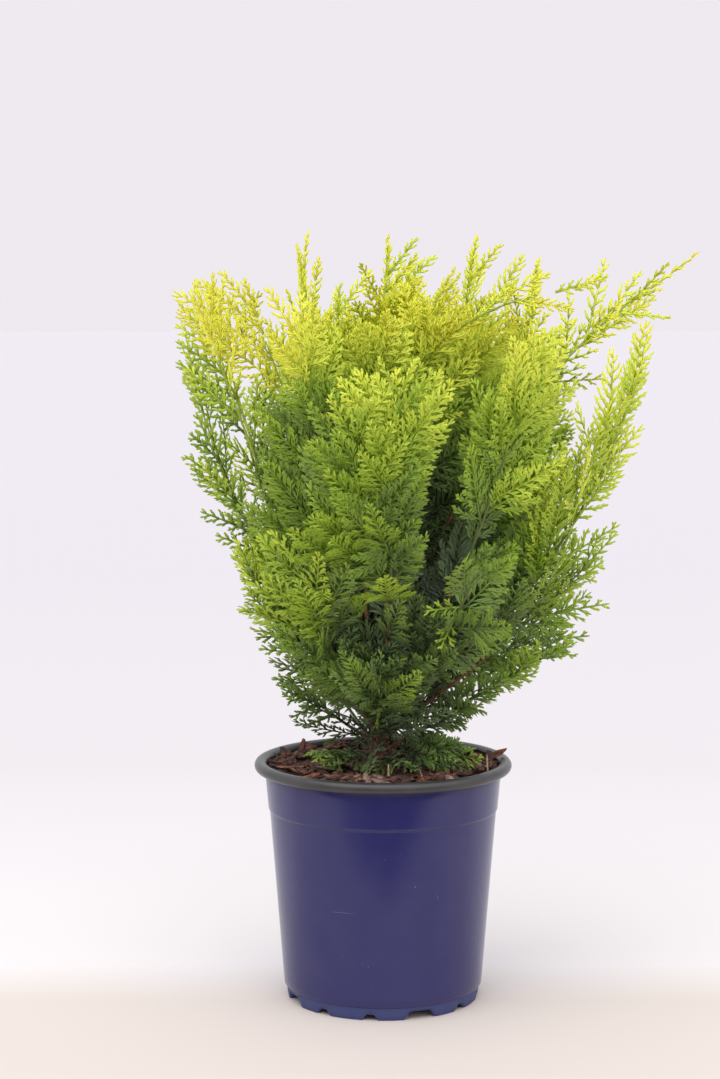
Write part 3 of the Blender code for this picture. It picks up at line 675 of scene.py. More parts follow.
def plastic(name, colour, worn, roughness, scuffs):
    """Moulded plastic: a slightly wavy gloss with scuffs and dust."""
    made, shader = node_material(name, colour, roughness)
    cloud = object_noise(made, 45.0, 4.0)
    haze = ramp(made, cloud, ((0.35, colour), (0.75, worn)))
    fleck = object_noise(made, 420.0, 2.0, (1.0, 1.0, 0.45))
    marks = ramp(made, fleck, ((0.75, (0, 0, 0)), (0.80, (scuffs, scuffs, scuffs))))
    mix = made.node_tree.nodes.new("ShaderNodeMix")
    mix.data_type = "RGBA"
    link(made, marks.outputs["Color"], mix.inputs["Factor"])
    link(made, haze.outputs["Color"], mix.inputs["A"])
    mix.inputs["B"].default_value = (*SCUFF_COLOUR, 1.0)
    link(made, mix.outputs["Result"], shader.inputs["Base Color"])
    roughen(made, shader, cloud, roughness * 0.8, roughness * 1.3)
    ripple = object_noise(made, 130.0, 2.0, (1.0, 1.0, 0.25))
    bump(made, shader, ripple, 0.1 * MM, 0.25)
    return made


def bark_material(name, dark, light):
    """Thin stringy bark: streaks along the limb and a fissured bump."""
    made, shader = node_material(name, dark, 0.85)
    streak = object_noise(made, 520.0, 5.0, (1.0, 1.0, 0.22))
    tint_by(made, shader, streak, ((0.35, dark), (0.66, light)))
    roughen(made, shader, streak, 0.75, 0.95)
    bump(made, shader, streak, 0.3 * MM, 0.6)
    return made


def mulch_material(name, dark, light):
    """Compost, bark chips or straw: a coarse grain in two tones, rough all over."""
    made, shader = node_material(name, dark, 0.92)
    grain = object_noise(made, 380.0, 5.0)
    tint_by(made, shader, grain, ((0.36, dark), (0.68, light)))
    roughen(made, shader, grain, 0.7, 1.0)
    bump(made, shader, grain, 0.5 * MM, 0.7)
    return made


def leaf_material(name, colour):
    """Scale leaves: a plain tint with a waxy gloss that varies finely."""
    made, shader = node_material(name, colour, 0.5)
    shader.inputs["Specular IOR Level"].default_value = 0.5
    roughen(made, shader, object_noise(made, 900.0, 1.0), 0.38, 0.62)
    return made


def mesh_piece(name, points, faces, finish, smooth=True):
    """A mesh object from arrays; faces are all triangles or all quads."""
    mesh = bpy.data.meshes.new(name)
    points = np.asarray(points, dtype=np.float32)
    faces = np.asarray(faces, dtype=np.int32)
    corners = faces.shape[1]
    mesh.vertices.add(len(points))
    mesh.vertices.foreach_set("co", points.ravel())
    mesh.loops.add(faces.size)
    mesh.loops.foreach_set("vertex_index", faces.ravel())
    mesh.polygons.add(len(faces))
    mesh.polygons.foreach_set("loop_start", np.arange(0, faces.size, corners, dtype=np.int32))
    mesh.polygons.foreach_set("use_smooth", np.full(len(faces), smooth))
    mesh.update(calc_edges=True)
    mesh.materials.append(finish)
    made = bpy.data.objects.new(name, mesh)
    bpy.context.scene.collection.objects.link(made)
    return made


def on_plant(piece, slot, *replaced):
    """Fixes a piece to the plant's one body and hides the nodes that it replaces; its slot is not used."""
    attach(piece, "root")
    if replaced:
        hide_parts(*replaced)


def nodes_named(start):
    """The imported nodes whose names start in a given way."""
    return [name for name in sorted(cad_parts) if name.startswith(start)]


def round_direction(azimuth):
    return Vector((math.cos(azimuth), math.sin(azimuth), 0.0))


def leaning(along, aside, angle):
    """The direction along, turned by an angle towards the one aside."""
    return (along * math.cos(angle) + aside * math.sin(angle)).normalized()


def squared(face, way):
    """A direction with what it has of the way taken out of it."""
    return (face - way * face.dot(way)).normalized()


def closed_lathe(name, rings, finish):
    """A closed profile turned round the axis. Each height is a number, or a function of the azimuth."""
    angles = np.linspace(0, math.tau, POT_SIDES, endpoint=False)
    points = []
    for radius, height in rings:
        heights = height(angles) if callable(height) else np.full(POT_SIDES, height)
        points.append(np.stack([np.cos(angles) * radius, np.sin(angles) * radius, heights], axis=1))
    count = len(rings)
    faces = []
    for ring in range(count):
        low, high = ring * POT_SIDES, (ring + 1) % count * POT_SIDES
        here = np.arange(POT_SIDES)
        after = (here + 1) % POT_SIDES
        faces.append(np.stack([low + here, low + after, high + after, high + here], axis=1))
    return mesh_piece(name, np.concatenate(points), np.concatenate(faces), finish)


def notch_height(angles):
    """How far the foot's lower edge is cut up at each azimuth: sloping wide notches and small arcs."""
    height = np.zeros_like(angles)
    for number in range(NOTCH_COUNT):
        wide = number % WIDE_NOTCH_EVERY == 0
        width, depth = WIDE_NOTCH if wide else SMALL_NOTCH
        centre = math.radians(FIRST_NOTCH + number * 360 / NOTCH_COUNT)
        away = np.abs((angles - centre + math.pi) % math.tau - math.pi) * FOOT_RADIUS
        slope = width / 4 if wide else width / 2
        inside = np.clip((width / 2 + slope / 2 - away) / slope, 0, 1)
        height = np.maximum(height, depth * inside * inside * (3 - 2 * inside))
    return height


def wall_radius(height):
    """The pot's radius between its foot and its ledge."""
    taper = (LEDGE_RADIUS - BODY_FOOT_RADIUS) / (LEDGE_HEIGHT - FOOT_HEIGHT)
    return BODY_FOOT_RADIUS + taper * (height - FOOT_HEIGHT)


def build_pot_body():
    blue = plastic("pot_gloss", (0.017, 0.018, 0.106), (0.023, 0.024, 0.113), 0.20, 0.3)
    rings = [
        (BODY_FOOT_RADIUS - 1.3 * MM, FOOT_HEIGHT + 0.4 * MM),
        (BODY_FOOT_RADIUS - 0.5 * MM, FOOT_HEIGHT + 0.5 * MM),
        (BODY_FOOT_RADIUS, FOOT_HEIGHT + 1.3 * MM),
    ]
    rings += [(wall_radius(z), z) for z in np.linspace(14 * MM, LEDGE_HEIGHT - MM, 12)]
    rings += [
        (LEDGE_RADIUS, LEDGE_HEIGHT),
        (LEDGE_RADIUS + 0.2 * LEDGE_STEP, LEDGE_HEIGHT + 0.25 * MM),
        (LEDGE_RADIUS + 0.8 * LEDGE_STEP, LEDGE_HEIGHT + 0.5 * MM),
        (LEDGE_RADIUS + LEDGE_STEP, LEDGE_HEIGHT + 1.1 * MM),
    ]
    rings += zip(
        np.linspace(LEDGE_RADIUS + LEDGE_STEP + 0.07 * MM, WALL_TOP_RADIUS - 0.1 * MM, 6),
        np.linspace(LEDGE_HEIGHT + 2.1 * MM, WALL_TOP - MM, 6),
    )
    rings += [
        (WALL_TOP_RADIUS - 0.3 * MM, WALL_TOP),
        (WALL_TOP_RADIUS - WALL / 2, WALL_TOP),
        (LEDGE_RADIUS - WALL / 2, LEDGE_HEIGHT),
        (BODY_FOOT_RADIUS - WALL / 2 - 0.5 * MM, FOOT_HEIGHT + 1.5 * MM),
    ]
    on_plant(closed_lathe("pot_body", rings, blue), "pot_blue", "pot")


def build_pot_foot(matte):
    """The ring that the pot stands on, cut up by the notches."""
    inside = FOOT_RADIUS - FOOT_WALL
    rings = [
        (inside, lambda a: notch_height(a) * 0.98),
        (FOOT_RADIUS - MM - 0.3 * MM, notch_height),
        (FOOT_RADIUS - MM, lambda a: notch_height(a) + 0.3 * MM),
        (FOOT_RADIUS - 0.4 * MM, lambda a: np.maximum(notch_height(a) + 0.6 * MM, 0.5 * FOOT_HEIGHT)),
        (FOOT_RADIUS, FOOT_HEIGHT),
        (FOOT_RADIUS + 0.2 * MM, FOOT_HEIGHT + 0.5 * MM),
        (inside, FOOT_HEIGHT + 0.5 * MM),
        (inside - 1.5 * MM, FLOOR_UNDER + 1.0 * MM),
        (inside - 2 * MM, FLOOR_UNDER),
    ]
    on_plant(closed_lathe("pot_foot", rings, matte), "pot_blue", "pot")


def build_pot_base(matte):
    """The pot's bottom with the pad in its middle and a groove round it."""
    groove = 0.5 * FOOT_RADIUS
    edge = FOOT_RADIUS - FOOT_WALL - MM
    rings = [
        (0.2 * MM, 0.0),
        (PAD_RADIUS, 0.0),
        (PAD_RADIUS + 0.6 * MM, 0.3 * MM),
        (PAD_RADIUS + 2 * MM, FLOOR_UNDER),
        (groove, FLOOR_UNDER),
        (groove + MM, FLOOR_UNDER - 0.8 * MM),
        (groove + 2 * MM, FLOOR_UNDER),
        (edge, FLOOR_UNDER),
        (edge, FOOT_HEIGHT + 0.3 * MM),
        (0.2 * MM, FOOT_HEIGHT + 0.3 * MM),
    ]
    on_plant(closed_lathe("pot_base", rings, matte), "pot_blue", "pot")


def build_pot_liner():
    """The wall's dark inner side, above the soil."""
    dark = plastic("inner_black", (0.012, 0.012, 0.014), (0.030, 0.029, 0.030), 0.5, 0.3)
    rings = [
        (LEDGE_RADIUS - WALL / 2 - 0.05 * MM, LEDGE_HEIGHT),
        (WALL_TOP_RADIUS - WALL / 2 - 0.05 * MM, WALL_TOP),
        (WALL_TOP_RADIUS - WALL, WALL_TOP),
        (LEDGE_RADIUS - WALL, LEDGE_HEIGHT),
    ]
    on_plant(closed_lathe("pot_liner", rings, dark), "rim_grey", "pot")


def build_scuffs():
    """Fine pale scratches and specks, each a sliver half sunk in the wall."""
    finish = plastic("scuff_pale", (0.075, 0.085, 0.190), (0.130, 0.145, 0.260), 0.6, 0.3)
    shapes = []
    for number, ((first_azimuth, low), (last_azimuth, high)) in enumerate(SCUFFS):
        centres = []
        azimuths = np.linspace(first_azimuth, last_azimuth, SCUFF_RINGS)
        for azimuth, height in zip(azimuths, np.linspace(low, high, SCUFF_RINGS) * MM):
            way = round_direction(math.radians(azimuth))
            centres.append(way * (wall_radius(height) - SCUFF_SUNK) + UP * height)
        radii = [SCUFF_RADIUS * (0.45 + 0.55 * math.sin(angle)) for angle in shares(0, math.pi, SCUFF_RINGS)]
        shapes.append(barked_tube(centres, radii, 6, 0.1 * MM, number))
    on_plant(mesh_piece("pot_scuffs", *join(shapes), finish), "pot_blue")


def build_rim():
    """The rolled rim: a rounded bead with a slight inner lip."""
    grey = plastic("rim_satin", (0.028, 0.028, 0.030), (0.050, 0.049, 0.051), 0.30, 0.5)
    low = POT_HEIGHT - RIM_HEIGHT
    inner = WALL_TOP_RADIUS - WALL + 0.2 * MM
    half = RIM_HEIGHT / 2
    bead = RIM_RADIUS - half
    rings = [(inner, low), (bead - 1.2 * MM, low)]
    for angle in np.linspace(-math.pi / 2, math.pi / 2, RIM_BEAD_RINGS):
        rings.append((bead + half * math.cos(angle), low + half + half * math.sin(angle)))
    rings += [
        (bead - 1.0 * MM, POT_HEIGHT - 0.05 * MM),
        (inner + 2.2 * MM, POT_HEIGHT - 0.5 * MM),
        (inner + 1.0 * MM, POT_HEIGHT - 1.2 * MM),
        (inner + 0.3 * MM, POT_HEIGHT - 2.6 * MM),
        (inner, POT_HEIGHT - 4.5 * MM),
    ]
    on_plant(closed_lathe("pot_rim_bead", rings, grey), "rim_grey", "pot_rim")


def soil_height(x, y):
    """The mulch's surface: lumpy, and heaped a little towards the pot's wall."""
    radius = math.hypot(x, y)
    lumps = sum(noise.noise(Vector((x, y, level)) * scale) * high for scale, level, high in SOIL_LUMPS)
    heap = SOIL_HEAP * (radius / SOIL_EDGE_RADIUS) ** 2
    return SOIL_TOP + (lumps + heap) * MM


def build_soil():
    finish = mulch_material("compost", (0.012, 0.008, 0.006), (0.045, 0.024, 0.016))
    ways = [round_direction(math.tau * side / SOIL_SIDES) for side in range(SOIL_SIDES)]
    points = [(0.0, 0.0, soil_height(0, 0))]
    for ring in range(1, SOIL_RINGS + 1):
        radius = SOIL_EDGE_RADIUS * ring / SOIL_RINGS
        for way in ways:
            x, y = way.x * radius, way.y * radius
            points.append((x, y, soil_height(x, y)))
    radius = SOIL_UNDER_RADIUS
    points += [(way.x * radius, way.y * radius, SOIL_TOP - SOIL_DEPTH) for way in ways]
    points.append((0.0, 0.0, SOIL_TOP - SOIL_DEPTH))
    walls = ring_faces(SOIL_RINGS + 1, SOIL_SIDES)
    faces = [tuple(corner + 1 for corner in reversed(face)) for face in walls]
    last = 1 + SOIL_RINGS * SOIL_SIDES
    for side in range(SOIL_SIDES):
        after = (side + 1) % SOIL_SIDES
        faces += [(0, 1 + side, 1 + after), (last + side, len(points) - 1, last + after)]
    on_plant(mesh_piece("compost_surface", points, faces, finish), "soil_brown", "soil")


def chip_shape(chance, length, width, thick):
    """One shard of bark: a split, twisted bar with ragged ends, as points and triangles."""
    sides, rings = 6, 5
    points = []
    twist = chance.uniform(-CHIP_TWIST, CHIP_TWIST)
    for ring in range(rings):
        along = ring / (rings - 1) - 0.5
        narrow = 1 - (2 * abs(along)) ** 3 * chance.uniform(0.3, 0.8)
        for side in range(sides):
            angle = math.tau * side / sides + twist * along
            rough = chance.uniform(0.72, 1.12)
            ragged = along * length + chance.uniform(-CHIP_RAGGED, CHIP_RAGGED) * length
            across = math.cos(angle) * width / 2 * narrow * rough
            up = math.sin(angle) * thick / 2 * narrow * rough + CHIP_BEND * length * along * along
            points.append((ragged, across, up))
    return np.array(points), tube_faces(rings, sides)[:, ::-1]


def turned(points, first, second, angle):
    """Points turned in the plane of two of their axes, from the first towards the second."""
    made = points.copy()
    made[:, first] = points[:, first] * math.cos(angle) - points[:, second] * math.sin(angle)
    made[:, second] = points[:, first] * math.sin(angle) + points[:, second] * math.cos(angle)
    return made


def placed_chip(shape, centre, heading, tilt, roll):
    points, faces = shape
    points = turned(points, 1, 2, roll)
    points = turned(points, 0, 2, tilt)
    points = turned(points, 0, 1, heading)
    return points + np.array(centre), faces


def join(shapes):
    """Shapes of points and faces made one."""
    points, faces, start = [], [], 0
    for shape_points, shape_faces in shapes:
        points.append(shape_points)
        faces.append(shape_faces + start)
        start += len(shape_points)
    return np.concatenate(points), np.concatenate(faces)


def strewn_chip(chance):
    """A drawn tone and a chip of a drawn kind anywhere on the compost, or nothing where the trunk stands."""
    radius = (SOIL_EDGE_RADIUS - CHIP_EDGE) * math.sqrt(chance.uniform(CHIP_NEAREST, 1))
    azimuth = chance.uniform(0, math.tau)
    x, y = radius * math.cos(azimuth), radius * math.sin(azimuth)
    if math.hypot(x - TRUNK_FOOT[0], y - TRUNK_FOOT[1]) < CHIP_TRUNK_GAP:
        return None
    pick = chance.random()
    sizes = next(sizes for below, *sizes in CHIP_KINDS if pick < below)
    length, width, thick = (chance.uniform(*size) for size in sizes)
    length = min(length, (SOIL_EDGE_RADIUS - radius) / MM * 1.6 + 4)
    shape = chip_shape(chance, length * MM, width * MM, thick * MM)
    heap = CHIP_HEAP * (radius / SOIL_EDGE_RADIUS) ** 2
    height = soil_height(x, y) + chance.uniform(0.0, 1.0) * MM + chance.uniform(0.3, 1.0) * heap
    tone = chance.choices(range(len(CHIP_TONES)), CHIP_TONE_SHARES)[0]
    heading, tilt = chance.uniform(0, math.tau), chance.gauss(0, CHIP_TILT)
    roll = chance.uniform(-CHIP_ROLL, CHIP_ROLL)
    return tone, placed_chip(shape, (x, y, height), heading, tilt, roll)


def lone_chip(chance, place, size, heading, tilt, roll):
    """A chip with its place and size in millimetres."""
    shape = chip_shape(chance, *(value * MM for value in size))
    return placed_chip(shape, [value * MM for value in place], heading, tilt, roll)


def mulch_piece(name, shapes, finish):
    on_plant(mesh_piece(name, *join(shapes), finish, smooth=False), "soil_brown", "soil")


def build_mulch():
    """Bark chips, nuggets and shreds strewn over the compost, a few that lean on the rim, and straws."""
    chance = random.Random(SEED)
    heaps = [[] for _ in CHIP_TONES]
    for _ in range(CHIP_COUNT):
        strewn = strewn_chip(chance)
        if strewn:
            tone, chip = strewn
            heaps[tone].append(chip)
    heaps[1] += [lone_chip(chance, *row) for row in LEANING_CHIPS]
    for number, (tones, shapes) in enumerate(zip(CHIP_TONES, heaps)):
        mulch_piece(f"bark_chips_{number}", shapes, mulch_material(f"bark_chip_{number}", *tones))
    straws = [lone_chip(chance, *row) for row in STRAWS]
    mulch_piece("straws", straws, mulch_material("straw", *STRAW_TONES))


def trunk_axis(height):
    """The middle of the trunk at a height: it sways to the left and leans back."""
    share = (height - TRUNK_FOOT_Z) / (TRUNK_TOP_Z - TRUNK_FOOT_Z)
    sway = TRUNK_SWAY * math.sin(math.pi * share)
    return Vector((TRUNK_FOOT[0] + sway, TRUNK_FOOT[1] + TRUNK_LEAN_BACK * share, height))


def trunk_rings():
    """The heights and radii of the source's rings, which crowd towards the flared foot."""
    shares_up = (np.arange(TRUNK_RINGS) / (TRUNK_RINGS - 1)) ** TRUNK_CROWDING
    above = shares_up * (TRUNK_TOP_Z - TRUNK_FOOT_Z)
    taper = (TRUNK_RADIUS - TRUNK_TIP_RADIUS) * (1 - shares_up) ** TRUNK_TAPER
    return TRUNK_FOOT_Z + above, TRUNK_TIP_RADIUS + taper + FLARE * np.exp(-above / FLARE_HEIGHT)


def trunk_radius(height):
    return float(np.interp(height, *trunk_rings()))


def limb_way(limb):
    return round_direction(math.radians(limb.azimuth))


def limb_ends(limb):
    """The three points that a limb's curve is drawn by: its foot, where it bends and its tip."""
    way = limb_way(limb)
    if limb.fork is None:
        first = trunk_axis(TRUNK_TOP_Z) + UP * FIT_GAP
    else:
        height = limb.fork * MM
        first = trunk_axis(height) + way * (trunk_radius(height) + TRUNK_GAP)
    last = way * limb.reach * MM + UP * limb.tip * MM
    gain = last - first
    middle = first + Vector((gain.x, gain.y, 0)) * limb.out_share + UP * gain.z * (1 - limb.out_share)
    return first, middle, last


def limb_point(limb, share):
    """The point of a limb's curve at a share of its course."""
    first, middle, last = limb_ends(limb)
    return first * (1 - share) ** 2 + middle * 2 * share * (1 - share) + last * share**2


def limb_tangent(limb, share):
    first, middle, last = limb_ends(limb)
    return ((middle - first) * (1 - share) + (last - middle) * share).normalized()


def shares(start, end, count):
    return [start + (end - start) * k / (count - 1) for k in range(count)]


def stem_start(limb):
    """Where the source starts a limb's green stem: just clear of the bough that carries it."""
    if limb.bare == 0:
        return 0.0
    step = (limb_point(limb, limb.bare + 0.01) - limb_point(limb, limb.bare)).length
    return limb.bare + 0.01 * FIT_GAP * 1.3 / step


def ring_faces(rings, sides):
    """Triangles between each ring of points and the next."""
    faces = []
    for ring, side in product(range(rings - 1), range(sides)):
        after = (side + 1) % sides
        low, high = ring * sides, (ring + 1) * sides
        faces += [(low + side, low + after, high + after), (low + side, high + after, high + side)]
    return faces


def tube_faces(rings, sides):
    """The triangles of a tube with a fan over each end."""
    last = (rings - 1) * sides
    fans = [((0, side + 1, side), (last, last + side, last + side + 1)) for side in range(1, sides - 1)]
    return np.array(ring_faces(rings, sides) + [face for pair in fans for face in pair])


def barked_tube(centres, radii, sides, relief, seed):
    """A limb with fissured bark: each point is moved in or out by noise stretched along the limb."""
    points = []
    side_way = None
    travelled = 0.0
    for k, centre in enumerate(centres):
        before, after = centres[max(k - 1, 0)], centres[min(k + 1, len(centres) - 1)]
        along = (after - before).normalized()
        travelled += (centre - before).length
        side_way = along.orthogonal() if side_way is None else side_way
        side_way = squared(side_way, along)
        across = along.cross(side_way)
        for side in range(sides):
            angle = math.tau * side / sides
            offset = side_way * math.cos(angle) + across * math.sin(angle)
            round_place = Vector((math.cos(angle), math.sin(angle), 0)) * BARK_FISSURES_ROUND
            place = round_place + UP * (travelled * BARK_FISSURES_ALONG + seed * BARK_SEED_STEP)
            ridge = noise.noise(place) + 0.5 * noise.noise(place * 2.7)
            reach = radii[k] * (1 + 0.04 * noise.noise(place * 0.3)) + ridge * min(relief, radii[k] * 0.2)
            points.append(centre + offset * reach)
    return np.array(points), tube_faces(len(centres), sides)


def build_trunk(bark):
    heights = [TRUNK_FOOT_Z - 2 * MM] + list(np.linspace(TRUNK_FOOT_Z, TRUNK_TOP_Z, TRUNK_BARK_RINGS))
    centres = [trunk_axis(height) for height in heights]
    radii = [trunk_radius(height) for height in heights]
    shape = barked_tube(centres, radii, TRUNK_SIDES, BARK_RELIEF, 0)
    on_plant(mesh_piece("trunk_bark", *shape, bark), "bark_brown", "trunk")


def woody_share(limb):
    """How far along a limb its brown bark reaches."""
    return limb.bare + WOODIER.get(limb.name, WOODY_BEYOND)


def bough_radius(limb, share):
    """A bough's radius: swollen at the trunk, then an even taper that its stem carries on."""
    start = BOUGH_BARK_RADIUS if limb.bare else STEM_RADIUS
    end_share = woody_share(limb)
    even = start + (STEM_RADIUS * STEM_FOOT_SHARE - start) * share / end_share
    return even * (1 + BOUGH_SWELLING * math.exp(-share / BOUGH_SWOLLEN_SHARE))


def build_boughs(bark):
    shapes = []
    for number, limb in enumerate(ALL_LIMBS):
        if limb.fork is None:
            continue
        inward = limb_way(limb) * trunk_radius(limb.fork * MM) * BOUGH_SUNK
        along = shares(0, woody_share(limb), BOUGH_RINGS)
        centres = [limb_point(limb, 0) - inward] + [limb_point(limb, s) for s in along]
        radii = [bough_radius(limb, 0)] + [bough_radius(limb, s) for s in along]
        shapes.append(barked_tube(centres, radii, BOUGH_SIDES, BOUGH_BARK_RELIEF, number + 1))
    on_plant(mesh_piece("boughs_bark", *join(shapes), bark), "bark_brown", *nodes_named("bough_"))


def build_stems():
    """Each limb's young green stem, from the end of its brown wood to its leader: yellower in the crown."""
    finishes = leaf_material("stem_olive", (0.13, 0.16, 0.05)), leaf_material("stem_lime", (0.30, 0.38, 0.05))
    heaps = [], []
    for number, limb in enumerate(ALL_LIMBS):
        start = woody_share(limb) - STEM_OVERLAP if limb.fork else 0.0
        centres = [limb_point(limb, s) for s in shares(start, STEM_SHARE, STEM_RINGS)]
        first = STEM_RADIUS * (INNER_STEM_FOOT_SHARE if limb in INNER_LIMBS else STEM_FOOT_SHARE)
        radii = shares(first, STEM_TIP_RADIUS, STEM_RINGS)
        low = sum(centre.z < CROWN_STEMS_FROM for centre in centres)
        for heap, part in zip(heaps, (slice(0, low + 1), slice(low, None))):
            if len(centres[part]) > 1:
                heap.append(barked_tube(centres[part], radii[part], STEM_SIDES, STEM_RELIEF, number + 60))
    for name, shapes, finish in zip(("stems_low", "stems_crown"), heaps, finishes):
        on_plant(mesh_piece(name, *join(shapes), finish), "foliage_green", *nodes_named("foliage_"))


Bud = namedtuple("Bud", "share turn spread length slender stray")
Frond = namedtuple("Frond", "foot way face length slender curl openness lift", defaults=(1.0, 0.0))


def stray_vector(chance):
    return Vector([chance.uniform(-1, 1) for _ in range(3)]) * FACE_JITTER


def source_buds(limb):
    """The buds of the solids: the leader, which carries the stem on to the limb's tip, and the rest round the
    stem by the golden turn, ascending, shorter upwards."""
    chance = random.Random(f"{SEED} {limb.name}")
    foot = STEM_SHARE - LEADER_OVERLAP
    reach = (limb_point(limb, 1.0) - limb_point(limb, foot)).length
    buds = [Bud(foot, 0.0, 0.0, reach, LEADER_SLENDER, stray_vector(chance))]
    start = stem_start(limb)
    turn = chance.uniform(0, math.tau)
    for number in range(limb.fronds):
        height = (number + 0.6) / limb.fronds
        turn += GOLDEN_TURN
        spread = SPREAD_LOW + (SPREAD_HIGH - SPREAD_LOW) * height + chance.uniform(-0.12, 0.12)
        length = limb.frond * MM * chance.uniform(0.88, 1.1) * (1.05 - 0.3 * height)
        share = start + (STEM_SHARE - start) * height
        buds.append(Bud(share, turn, spread, length, FROND_SLENDER, stray_vector(chance)))
    return buds


def levelness(height):
    """How level sprays lie: not at all up the plant, wholly at the soil."""
    return max(0.0, (LEVEL_BELOW - height) / (LEVEL_BELOW - SOIL_TOP))


def face_of(foot, way, stray):
    """The way that a frond faces: outwards and to the front, and upwards where it lies low."""
    outward = Vector((foot.x, foot.y, 0)).normalized() + UP * 0.3
    front = FRONT if foot.y < 0 else -FRONT
    wanted = outward * RADIAL_FACING + front * FRONT_FACING + stray
    wanted += UP * LEVEL_FACING * levelness(foot.z)
    return squared(wanted, way)


def grown(limb, bud, turned_by, closing, scale):
    """The frond of a bud, swung round its stem, closed towards it and shortened as asked."""
    foot = limb_point(limb, bud.share)
    if bud.spread == 0:
        way = (limb_point(limb, 1.0) - foot).normalized()
    else:
        along = limb_tangent(limb, bud.share)
        sideways = along.cross(limb_way(limb)).normalized()
        turn, spread = bud.turn + turned_by, bud.spread * closing
        aside = sideways * math.cos(turn) + along.cross(sideways) * math.sin(turn)
        aside.z *= 1 - LEVEL_SPREAD * levelness(foot.z)
        way = leaning(along, aside.normalized(), spread)
    face = face_of(foot, way, bud.stray)
    curl = curl_of(face.cross(way), foot, limb, bud.share)
    return Frond(foot, way, face, bud.length * scale, bud.slender, curl)


def curl_of(aside, foot, limb, share):
    """How a spray bends in its own plane: towards the way its stem grows."""
    return SPRAY_CURL * aside.dot(limb_tangent(limb, share) * 0.6 + UP * 0.4)


def frond_outline(length, slender):
    """Half of a frond's outline in the source: teeth that lean forwards."""
    count = 2 if length < SHORT_FROND else 3
    widest = slender * length
    first, pitch = 0.12 * length, 0.66 * length / count
    outline = [(0.0, ROOT_HALF_WIDTH)]
    for tooth in range(count):
        place = (tooth + 0.4) / count
        width = widest * math.sin(math.pi * (0.3 + 0.56 * place))
        root = first + pitch * tooth
        rib = RIB_HALF_WIDTH * (1.25 - 0.5 * place)
        if tooth:
            outline.append((root, rib + 0.1 * width))
        outline.append((root + TOOTH_FORWARD * width, width))
    return outline


def axis_point(frond, share):
    """A point on a frond's own axis."""
    return frond.foot + frond.way * frond.length * share


def frond_points(frond):
    """The corners of a frond, round it from its foot."""
    aside = frond.face.cross(frond.way)
    half = frond_outline(frond.length, frond.slender)
    right = [frond.foot + frond.way * a + aside * s for a, s in half]
    left = [frond.foot + frond.way * a - aside * s for a, s in reversed(half)]
    return right + [axis_point(frond, 1)] + left


def frond_samples(frond):
    """Points spread over the frond, close enough together to stand for all of it."""
    ring = [np.array(p) for p in frond_points(frond)]
    foot = np.array(frond.foot)
    way = np.array(frond.way)
    found = []
    for k, corner in enumerate(ring):
        after = ring[(k + 1) % len(ring)]
        steps = max(2, int(np.linalg.norm(after - corner) / SAMPLE))
        for edge_share in np.linspace(0, 1, steps, endpoint=False):
            edge = corner + (after - corner) * edge_share
            rib = foot + way * (edge - foot).dot(way)
            across = max(2, int(np.linalg.norm(edge - rib) / SAMPLE))
            found += [rib + (edge - rib) * s for s in np.linspace(0, 1, across + 1)]
    return np.array(found)


def distances(points, others):
    """The distance of each point from each of the others."""
    squares = (points**2).sum(axis=1)[:, None] + (others**2).sum(axis=1)[None, :]
    return np.sqrt(np.maximum(squares - 2 * points @ others.T, 0.0))


def crown_share(points):
    """How far out each point is: 0 on the plant's axis, 1 on the outline of the crown at its height."""
    heights, left, right, deep = np.array(CROWN).T * MM
    across = np.where(
        points[:, 0] > 0,
        np.interp(points[:, 2], heights, right),
        np.interp(points[:, 2], heights, left),
    )
    depth = np.interp(points[:, 2], heights, deep)
    return np.hypot(points[:, 0] / across, points[:, 1] / depth)


def in_crown(points):
    return bool((crown_share(points) < 1.0).all())


def in_hollow(points):
    """Whether a point is in one of the hollows."""
    across, behind, up = points.T / MM
    up = up + HOLLOW_SLOPE * behind
    for hollow in HOLLOWS:
        beside = (across > hollow.left) & (across < hollow.right)
        if (beside & (up > hollow.low) & (up < hollow.high) & (behind < hollow.depth)).any():
            return True
    return False


def over_pot(points):
    """Whether a point is in the pot or in its soil, or too close to them."""
    radius = np.hypot(points[:, 0], points[:, 1])
    near_rim = radius > WALL_TOP_RADIUS - RIM_KEPT_CLEAR
    floor = np.where(near_rim, POT_HEIGHT, SOIL_TOP + SOIL_BUMP) + POT_MARGIN
    return bool(((radius < RIM_RADIUS + POT_MARGIN) & (points[:, 2] < floor)).any())


